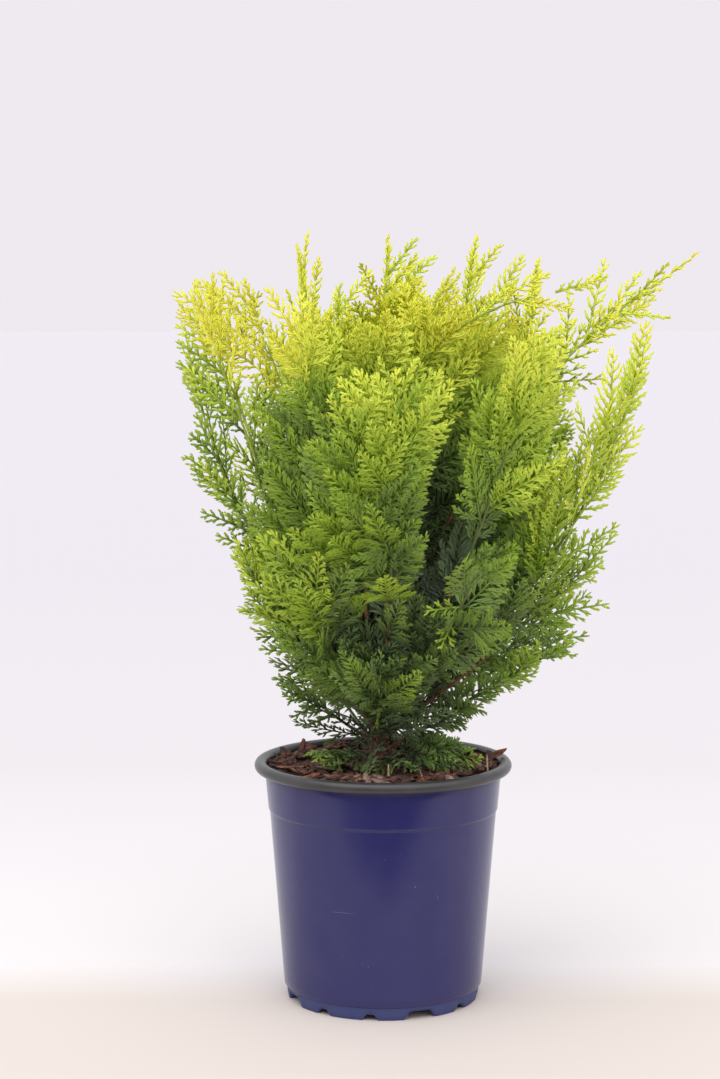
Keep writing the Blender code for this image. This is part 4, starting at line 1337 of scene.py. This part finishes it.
class Space:
    """Where every limb runs, so that each frond can be kept to its own mass's space."""

    def __init__(self):
        stems = {}
        wood, radii = [], []
        for limb in LIMBS:
            along = shares(stem_start(limb), 1.0, LIMB_TESTED)
            stems[limb.name] = np.array([limb_point(limb, s) for s in along])
            if limb.bare:
                wood += [limb_point(limb, s) for s in shares(0, limb.bare, LIMB_TESTED)]
                radii += shares(BOUGH_RADIUS, BOUGH_END_RADIUS, LIMB_TESTED)
        for height in shares(TRUNK_FOOT_Z, TRUNK_TOP_Z, TRUNK_TESTED):
            wood.append(trunk_axis(height))
            radii.append(trunk_radius(height))
        self.own = stems
        self.others = {
            name: np.concatenate([stem for other, stem in stems.items() if other != name])
            for name in stems
        }
        self.wood, self.radii = np.array(wood), np.array(radii)

    def clear(self, points, frond, limb, margin):
        """Whether points of a frond keep off the pot, the wood and the space of other limbs."""
        if over_pot(points):
            return False
        if frond.slender == FROND_SLENDER:
            ceiling = min(limb.tip * MM, SPRAY_TOP)
            if points[:, 2].max() > ceiling or not in_crown(points):
                return False
        own = distances(points, self.own[limb.name]).min(axis=1)
        if (distances(points, self.others[limb.name]).min(axis=1) - own < margin).any():
            return False
        return (distances(points, self.wood) - self.radii).min() > LIMB_MARGIN

    def holds(self, frond, limb, margin):
        """Whether the frond is clear, by its corners first, as they rule most fronds out."""
        corners = np.array(frond_points(frond))
        if not self.clear(corners, frond, limb, margin):
            return False
        return self.clear(frond_samples(frond), frond, limb, margin)


def blade_tree(frond):
    """A tree for overlap tests of the frond's outer part."""
    ring = frond_points(frond)
    along = [(p - frond.foot).dot(frond.way) for p in ring]
    lift = frond.face * BLADE
    ring = [p for p, a in zip(ring, along) if a > FREE_FROM * frond.length]
    count = len(ring)
    points = [p + lift for p in ring] + [p - lift for p in ring]
    faces = [tuple(range(count)), tuple(range(count, 2 * count))]
    faces += [(k, k + count, (k + 1) % count + count, (k + 1) % count) for k in range(count)]
    return BVHTree.FromPolygons([tuple(p) for p in points], faces)


def placed_fronds(limb, space):
    """The source's fronds, each tried whole, then closed up, turned or shortened, or else skipped."""
    placed, trees = [], []
    for bud in source_buds(limb):
        for scale, closing, turn in product(LENGTHS_TRIED, CLOSINGS_TRIED, TURNS_TRIED):
            tried = grown(limb, bud, turn, closing, scale)
            if not space.holds(tried, limb, SPACE_MARGIN):
                continue
            tree = blade_tree(tried)
            if any(tree.overlap(other) for other in trees):
                continue
            placed.append(slimmed(limb, tried))
            trees.append(tree)
            break
    return placed


def habit_of(limb):
    return HABITS.get(limb.name, PLAIN_HABIT)


def slimmed(limb, frond):
    """The same frond as its limb's habit has it, and slim where it stands out of the crown's top."""
    habit = habit_of(limb)
    slender = frond.slender * math.sqrt(habit.slender)
    if axis_point(frond, 1).z > SLIM_ABOVE:
        slender *= SLIM_SHARE
    return frond._replace(slender=slender, openness=habit.openness)


def plume_fronds(limb):
    """More fronds on the same stem and on the end of its bough, left and right in one plane that faces
    outwards and to the front, so that the mass reads as a flat plume. They may touch their neighbours."""
    chance = random.Random(f"{SEED} {limb.name} plume")
    habit = habit_of(limb)
    slender = FROND_SLENDER * habit.slender
    root = limb.bare * PLUME_ROOT
    stem = (limb_point(limb, STEM_SHARE) - limb_point(limb, root)).length
    count = round(stem / MM / habit.pitch)
    most_roll = PLUME_ROLL if habit.within == 1.0 else PLUME_ROLL_WITHIN
    placed = []
    for number in range(count):
        height = (number + chance.uniform(*PLUME_PLACE)) / count
        share = root + (STEM_SHARE + PLUME_BEYOND - root) * height
        foot, along = limb_point(limb, share), limb_tangent(limb, share)
        stretch = chance.uniform(*PLUME_STRETCH) / habit.within
        stray = stray_vector(chance)
        ceiling = min(limb.tip * MM, chance.uniform(*PLUME_TOP))
        hand = 1 if number % 2 else -1
        roll = chance.gauss(0, most_roll)
        full = limb.frond * MM * habit.length * chance.uniform(*PLUME_LENGTH_JITTER)
        full *= np.interp(height, *PLUME_LENGTH)
        spread = math.radians(np.interp(height, (0, 1), (habit.low_spread, habit.high_spread)))
        spread += chance.gauss(0, PLUME_SPREAD_JITTER)
        face = face_of(foot, along, stray)
        aside = face.cross(along) * hand
        spread *= np.interp(aside.dot(limb_way(limb)), *SPREAD_BY_SIDE)
        aside = aside * math.cos(roll) + face * math.sin(roll)
        for closing, scale in product(PLUME_TURNS, PLUME_LENGTHS):
            way = leaning(along, aside, spread * closing)
            flat = squared(face, way)
            curl = curl_of(flat.cross(way), foot, limb, share)
            tried = Frond(foot, way, flat, full * scale, slender, curl, habit.openness)
            corners = np.array(frond_points(tried))
            middle = np.array([axis_point(tried, part) for part in AXIS_TESTED])
            kept_out = over_pot(corners) or in_hollow(np.concatenate([corners, middle]))
            if corners[:, 2].max() < ceiling and in_crown(corners * stretch) and not kept_out:
                placed.append(tried)
                break
    return placed


def reaching_fronds(limb):
    """The sprays that reach out of a limb's mass, each aimed at its tip's place in the photo."""
    placed = []
    for row in REACHES.get(limb.name, ()):
        reach = Reach(*row)
        foot = limb_point(limb, reach.share)
        gain = Vector((reach.across, reach.behind, reach.up)) * MM - foot
        straight = gain.normalized()
        face = squared(FRONT, straight)
        way = (straight - face.cross(straight) * reach.bend).normalized()
        placed.append(
            Frond(foot, way, face, gain.length, reach.slender, reach.bend, reach.openness, reach.lift)
        )
    return placed


def tip_shoots(limb):
    """Slim shoots that carry a crown limb's stem on, a little apart from one another."""
    chance = random.Random(f"{SEED} {limb.name} shoots")
    most = math.radians(habit_of(limb).high_spread) * TIP_SHOOT_SPREAD
    ceiling = min(TIP_SHOOT_CEILING, limb.tip * MM + TIP_SHOOT_RISE)
    placed = []
    for _ in range(TIP_SHOOTS):
        share = chance.uniform(*TIP_SHOOT_FOOT)
        foot, along = limb_point(limb, share), limb_tangent(limb, share)
        face = face_of(foot, along, stray_vector(chance))
        spread = chance.uniform(-most, most)
        way = leaning(along, face.cross(along), spread)
        flat = squared(face, way)
        full = chance.uniform(*TIP_SHOOT_LENGTH)
        curl = SPRAY_CURL * chance.uniform(-1, 1)
        slender = chance.uniform(*TIP_SHOOT_SLENDER)
        for scale in PLUME_LENGTHS:
            tried = Frond(foot, way, flat, full * scale, slender, curl)
            tip = axis_point(tried, 1)
            if tip.z < ceiling and in_crown(np.array([tip])):
                placed.append(tried)
                break
    return placed


# Twigs in a spray's plane: the place of each is how far out it is, from 0 to 1. The second-order ones are
# also kept as the two ways that make up each, with their headings.
Twigs = namedtuple("Twigs", "start middle end half_width place tilt")
Seconds = namedtuple("Seconds", "root half_way far_way turn_out turn_in reach side place tilt")


def mixed(pair, share):
    return pair[0] + (pair[1] - pair[0]) * share


def along_aside(angle, side):
    """Unit ways in a spray's plane, at an angle to its axis and on the side that is 1 or -1."""
    return np.stack([np.cos(angle), side * np.sin(angle)], axis=-1)


def on_axis(places):
    return np.stack([places, np.zeros(len(places))], axis=-1)


def unit(ways):
    return ways / np.linalg.norm(ways, axis=1, keepdims=True)


def quarter_turned(ways):
    return np.stack([-ways[:, 1], ways[:, 0]], axis=1)


def second_order(frond, feather, chance):
    """Alternate twigs on a spray's axis, each in two straight halves, the outer one bent forwards."""
    first, last = (share * frond.length for share in SECOND_FROM_TO)
    count = max(5, int((last - first) / mixed(SECOND_PITCH, feather) / frond.openness))
    number = np.arange(count)
    place = (number + 0.5) / count
    at = first + (last - first) * place
    side = np.where(number % 2 == 0, 1.0, -1.0)
    half = frond.slender * frond.length * np.sin(math.pi * (0.30 + 0.60 * place))
    angle = mixed(SECOND_ANGLE, place) + chance.normal(0, 0.06, count)
    angle *= np.interp(frond.slender, *SECOND_ANGLE_BY_SLENDER)
    tapered = chance.uniform(*SECOND_OF_REST) * (frond.length - at) + SECOND_SHORTEST
    reach = np.minimum(half / np.sin(angle), tapered) * chance.uniform(0.80, 1.12, count)
    reach = np.maximum(reach, SECOND_SHORTEST)
    turn_out, turn_in = angle + SECOND_CURVE / 2, angle - SECOND_CURVE / 2
    half_way = 0.5 * reach[:, None] * along_aside(turn_out, side)
    far_way = 0.5 * reach[:, None] * along_aside(turn_in, side)
    tilt = chance.normal(0, SECOND_TILT, count)
    return Seconds(on_axis(at), half_way, far_way, turn_out, turn_in, reach, side, place, tilt)


def third_order(seconds, frond, feather, chance):
    """Alternate twigs on both sides of each second-order one, as many as it has room for."""
    pitch = mixed(THIRD_PITCH, feather) * math.sqrt(frond.openness)
    reach = seconds.reach[:, None]
    number = np.arange(int(seconds.reach.max() / pitch) + 1)[None, :]
    at = (number + 0.9) * pitch
    used = at < reach - BARE_TIP
    share = np.clip(at / reach, 0, 1)
    near = seconds.half_way[:, None] * np.minimum(share * 2, 1)[..., None]
    far = seconds.far_way[:, None] * np.maximum(share * 2 - 1, 0)[..., None]
    foot = seconds.root[:, None] + near + far
    heading = np.where(share < 0.5, seconds.turn_out[:, None], seconds.turn_in[:, None])
    sway = np.where((number + np.arange(len(reach))[:, None]) % 2 == 0, 1.0, -1.0)
    angle = heading + sway * (mixed(THIRD_ANGLE, feather) + chance.normal(0, 0.10, used.shape))
    third = mixed(THIRD_OF_REST, feather) * (reach - at) + THIRD_SHORTEST
    third = np.minimum(mixed(THIRD_LENGTH, feather), third)
    third = third * chance.uniform(0.75, 1.15, used.shape) * np.interp(frond.slender, *THIRD_BY_SLENDER)
    way = along_aside(angle, seconds.side[:, None]) * third[..., None]
    width = np.minimum(mixed(THIRD_HALF_WIDTH, feather), THIRD_WIDTH_OF_LENGTH * third)
    width = width * chance.uniform(0.85, 1.12, used.shape)
    place = seconds.place[:, None] * 0.5 + share * 0.5
    tilt = np.broadcast_to(seconds.tilt[:, None], used.shape)
    return Twigs(*(values[used] for values in (foot, foot + way * 0.45, foot + way, width, place, tilt)))


def tip_blades(seconds, length, half_width):
    """The leafy tips of the second-order twigs and of the axis."""
    tip = seconds.root + seconds.half_way + seconds.far_way
    start = tip - unit(seconds.far_way) * np.minimum(TIP_BLADE, 0.45 * seconds.reach)[:, None]
    start = np.concatenate([start, on_axis(np.array([length - TIP_BLADE]))])
    end = np.concatenate([tip, on_axis(np.array([length]))])
    place, tilt = np.append(0.5 + 0.5 * seconds.place, 1.0), np.append(seconds.tilt, 0.0)
    return Twigs(start, 0.5 * (start + end), end, np.full(len(end), half_width), place, tilt)


def axis_twigs(length):
    """The spray's axis as pieces that overlap and taper."""
    cuts = np.linspace(0, 1, AXIS_PIECES + 1)
    start = on_axis(np.maximum(cuts[:-1] - 0.03, 0) * length)
    end = on_axis(np.minimum(cuts[1:] + 0.05, 1) * length)
    width = AXIS_HALF_WIDTH * (1 - 0.4 * cuts[:-1])
    return Twigs(start, 0.4 * start + 0.6 * end, end, width, cuts[1:], np.zeros(AXIS_PIECES))


def spray_twigs(frond, feather, chance):
    """The twigs of one flat spray in its plane, as (along, aside): axis, second order and blades."""
    seconds = second_order(frond, feather, chance)
    thirds = third_order(seconds, frond, feather, chance)
    tips = tip_blades(seconds, frond.length, mixed(THIRD_HALF_WIDTH, feather))
    leaves = Twigs(*(np.concatenate(parts) for parts in zip(thirds, tips)))
    middle = seconds.root + seconds.half_way
    width = np.full(len(middle), SECOND_HALF_WIDTH)
    carriers = Twigs(seconds.root, middle, middle + seconds.far_way, width, seconds.place, seconds.tilt)
    return axis_twigs(frond.length), carriers, leaves


def lifted(points, lift):
    """Points of a spray's plane with how far each is out of it."""
    return np.concatenate([points, lift[:, None]], axis=1)


def ring_points(centre, ahead, half_width, thick):
    """Three points round each twig: two edges in the spray's plane and a ridge out of it."""
    aside = quarter_turned(ahead) * half_width[:, None]
    edges = [lifted(centre - aside, -thick * 0.45), lifted(centre + aside, -thick * 0.45)]
    return np.stack([*edges, lifted(centre, thick * 0.9)], axis=1)


BLADE_FACES = np.array([(0, 1, 2), (0, 2, 3), (0, 3, 4), (0, 4, 5)])
STALK_FACES = np.array(
    [
        *((0, 2, 1), (0, 1, 4), (0, 4, 3), (1, 2, 5), (1, 5, 4)),
        *((2, 0, 3), (2, 3, 5), (6, 3, 4), (6, 4, 5), (6, 5, 3)),
    ]
)


def blades(twigs):
    """Scale-leaved branchlets in their own outline: pointed straps with their edges folded back."""
    ahead = twigs.end - twigs.start
    aside = quarter_turned(unit(ahead)) * twigs.half_width[:, None]
    drop = -twigs.half_width * TWIG_FLATNESS
    flat = np.zeros_like(drop)
    low, high = twigs.start + ahead * 0.18, twigs.start + ahead * 0.62
    corners = (
        (twigs.start, flat),
        (low + aside * 0.85, drop),
        (high + aside, drop),
        (twigs.end, flat),
        (high - aside, drop),
        (low - aside * 0.85, drop),
    )
    return np.stack([lifted(points, lift) for points, lift in corners], axis=1), BLADE_FACES


def stalks(twigs):
    """Twigs that carry others: two rings and a tip, ten faces each."""
    thick = twigs.half_width * TWIG_FLATNESS
    first = ring_points(twigs.start, unit(twigs.middle - twigs.start), twigs.half_width, thick)
    upper = unit(twigs.end - twigs.start)
    second = ring_points(twigs.middle, upper, twigs.half_width * 0.85, thick * 0.85)
    end = lifted(twigs.end, np.zeros(len(upper)))[:, None, :]
    return np.concatenate([first, second, end], axis=1), STALK_FACES


def bent(points, tilt, frond, sag, cup, wave):
    """A spray's flat points bowed along its length, curled in its plane and folded back towards its edges,
    with each twig tilted out of the plane."""
    u, v, w = points[..., 0], points[..., 1], points[..., 2]
    length = frond.length
    along = u / length
    lift = sag * length * along**2 + wave * length * np.sin(along * SPRAY_WAVE_TURN) - cup * v**2 / length
    return np.stack([u, v + frond.curl * length * along**2, w + lift + tilt[:, None] * v], axis=-1)


def tone_gain(centre):
    """How much yellower a place is than its height gives: the sum of the places that it lies in."""
    total = 0.0
    for tone in TONES:
        across = (centre.x / MM - tone.across) / tone.half_width
        up = (centre.z / MM - tone.up) / tone.half_height
        total += tone.gain * max(0.0, 1.0 - across**2 - up**2)
    return total


def tint_place(limb, frond):
    """Where in the tints a spray starts: by its height, its mass, how far out it is (darker inside, partly as
    painted shade) and its place.
    """
    centre = axis_point(frond, TINT_TAKEN_AT)
    heights, places = zip(*TINT_BY_HEIGHT)
    outward = float(crown_share(np.array([centre]))[0])
    shaded = 1.0 - float(np.interp(centre.z, TINT_INNER_HEIGHTS, (0, 1)))
    # Sprays deep inside the crown darker: partly their own deeper green, partly painted shade
    inner = max(0.0, 1.0 - outward / TINT_INNER_TO) * shaded
    outer = max(0.0, outward - TINT_OUTER_FROM) / (1.0 - TINT_OUTER_FROM) * shaded
    outer *= float(np.interp(centre.z, TINT_OUTER_HEIGHTS, (0, 1)))
    place = float(np.interp(centre.z, heights, places))
    place += TINT_OUTER_GAIN * outer - TINT_INNER_GREEN_AND_PAINTED_SHADE * inner
    return place + TINT_SHIFT[limb.tint] + frond.lift + tone_gain(centre)


def sprays(limb, fronds, heaps, chance):
    """Adds the twigs of a limb's fronds to the heap of each tint."""
    for frond in fronds:
        base = tint_place(limb, frond) + chance.normal(0, TINT_STRAY)
        aside = frond.face.cross(frond.way)
        to_world = np.array([frond.way, aside, frond.face])
        sag = chance.normal(0, SPRAY_SAG)
        cup = SPRAY_CUP * chance.uniform(0.2, 1.0)
        wave = chance.normal(0, SPRAY_WAVE)
        tip_gain = float(np.interp(frond.foot.z, TINT_TIP_HEIGHTS, TINT_TIP_GAIN))
        feather = 1.0 - float(np.interp(frond.foot.z, FEATHER_HEIGHTS, (0, 1)))
        orders = spray_twigs(frond, feather, chance)
        for twigs, shape, dulled in zip(orders, (stalks, stalks, blades), TINT_DULLED):
            points, pattern = shape(twigs)
            points = bent(points, twigs.tilt, frond, sag, cup, wave) @ to_world + np.array(frond.foot)
            stray = chance.normal(0, TWIG_TINT_STRAY, len(points))
            place = base + tip_gain * (twigs.place - TINT_TIP_FROM) - dulled + stray
            tint = np.clip(np.rint(place * (len(TINTS) - 1)), 0, len(TINTS) - 1).astype(int)
            for number in np.unique(tint):
                heaps[number].append((points[tint == number], pattern))


def heap_pieces(number, heap, finish):
    """One tint's twigs as one piece, or more where they are over the limit of triangles."""
    batches, size = [[]], 0
    for points, pattern in heap:
        triangles = len(points) * len(pattern)
        if size + triangles > PIECE_TRIANGLES:
            batches.append([])
            size = 0
        batches[-1].append((points, pattern))
        size += triangles
    for part, batch in enumerate(batches):
        flat, faces, start = [], [], 0
        for points, pattern in batch:
            count, corners = points.shape[:2]
            flat.append(points.reshape(-1, 3))
            offsets = start + np.arange(count)[:, None, None] * corners
            faces.append((pattern[None] + offsets).reshape(-1, 3))
            start += count * corners
        piece = mesh_piece(f"sprays_{number}_{part}", np.concatenate(flat), np.concatenate(faces), finish)
        on_plant(piece, f"foliage_{TINT_SLOTS[number]}", *nodes_named("foliage_"))


def build_foliage():
    space = Space()
    chance = np.random.default_rng(SEED)
    heaps = [[] for _ in TINTS]
    for limb in ALL_LIMBS:
        fronds = plume_fronds(limb)
        if limb.fronds:
            fronds += placed_fronds(limb, space)
        reaching = reaching_fronds(limb)
        fronds += reaching
        if limb.tip > CROWN_TIPS_FROM and not reaching:
            fronds += tip_shoots(limb)
        sprays(limb, fronds, heaps, chance)
    for number, heap in enumerate(heaps):
        if heap:
            heap_pieces(number, heap, leaf_material(f"leaf_{number}", TINTS[number]))


def build_floor():
    """A pale floor that is a little warmer and darker in front of the pot, with painted light just behind it
    that offsets the plant's shade and painted shade that darkens it further back.
    """
    made, shader = node_material("floor_paper", FLOOR_COLOUR_AND_PAINTED_LIGHT[0][1], 0.9)
    behind = coordinates(made, "Object").outputs["Y"]
    tint_by(made, shader, scaled(made, behind, 0.0, 1.0, *FLOOR_COLOUR_AND_PAINTED_LIGHT_RUN), FLOOR_COLOUR_AND_PAINTED_LIGHT)
    side = FLOOR_HALF_SIDE
    corners = [(-side, -side, 0), (side, -side, 0), (side, side, 0), (-side, side, 0)]
    floor = mesh_piece("floor", corners, [(0, 1, 2, 3)], made, smooth=False)


def build_painted_reflection_card():
    """A black card on the floor in front, like a studio's flag but unseen by the camera and casting no shade,
    which only the pot's gloss reflects: a painted dark reflection, a wedge that widens away from the pot."""
    black, _ = node_material("flag_black", (0.004, 0.004, 0.004), 0.9)
    half = (REFLECTION_CARD_APEX - REFLECTION_CARD_END) * REFLECTION_CARD_WIDENING
    corners = [(0, REFLECTION_CARD_APEX, MM), (-half, REFLECTION_CARD_END, MM), (half, REFLECTION_CARD_END, MM)]
    flag = mesh_piece("flag", corners, [(0, 1, 2)], black, smooth=False)
    flag.visible_camera = False
    flag.visible_diffuse = False
    flag.visible_shadow = False


def build_light():
    """A bright sky like a white studio, and two broad suns in front."""
    world = bpy.data.worlds.new("studio")
    world.use_nodes = True
    bpy.context.scene.world = world
    tone = ramp(world, coordinates(world, "Generated").outputs["Z"], SKY_TONES)
    link(world, tone.outputs["Color"], world.node_tree.nodes["Background"].inputs["Color"])
    for name, place, angle, strength in SUNS:
        lamp = bpy.data.lights.new(name, "SUN")
        lamp.angle = math.radians(angle)
        lamp.energy = strength
        lamp_object = bpy.data.objects.new(name, lamp)
        lamp_object.rotation_euler = (-Vector(place)).to_track_quat("-Z", "Y").to_euler()
        bpy.context.scene.collection.objects.link(lamp_object)


def build_camera():
    camera = bpy.data.cameras.new("photo_camera")
    camera.lens = CAMERA_LENS
    camera.sensor_width = 36
    camera_object = bpy.data.objects.new("photo_camera", camera)
    camera_object.location = CAMERA_PLACE
    camera_object.rotation_euler = (math.pi / 2 - CAMERA_PITCH, 0, 0)
    bpy.context.scene.collection.objects.link(camera_object)
    bpy.context.scene.camera = camera_object


build_pot_body()
foot_plastic = plastic("foot_matte", (0.032, 0.044, 0.150), (0.040, 0.052, 0.165), 0.55, 0.3)
build_pot_foot(foot_plastic)
build_pot_base(foot_plastic)
build_pot_liner()
build_scuffs()
build_rim()
build_soil()
build_mulch()
build_trunk(bark_material("bark_reddish", (0.050, 0.024, 0.016), (0.190, 0.095, 0.062)))
build_boughs(bark_material("bark_orange", (0.080, 0.038, 0.020), (0.290, 0.150, 0.080)))
build_stems()
build_foliage()
build_floor()
build_painted_reflection_card()
build_light()
build_camera()
bpy.context.scene.view_settings.view_transform = "Standard"
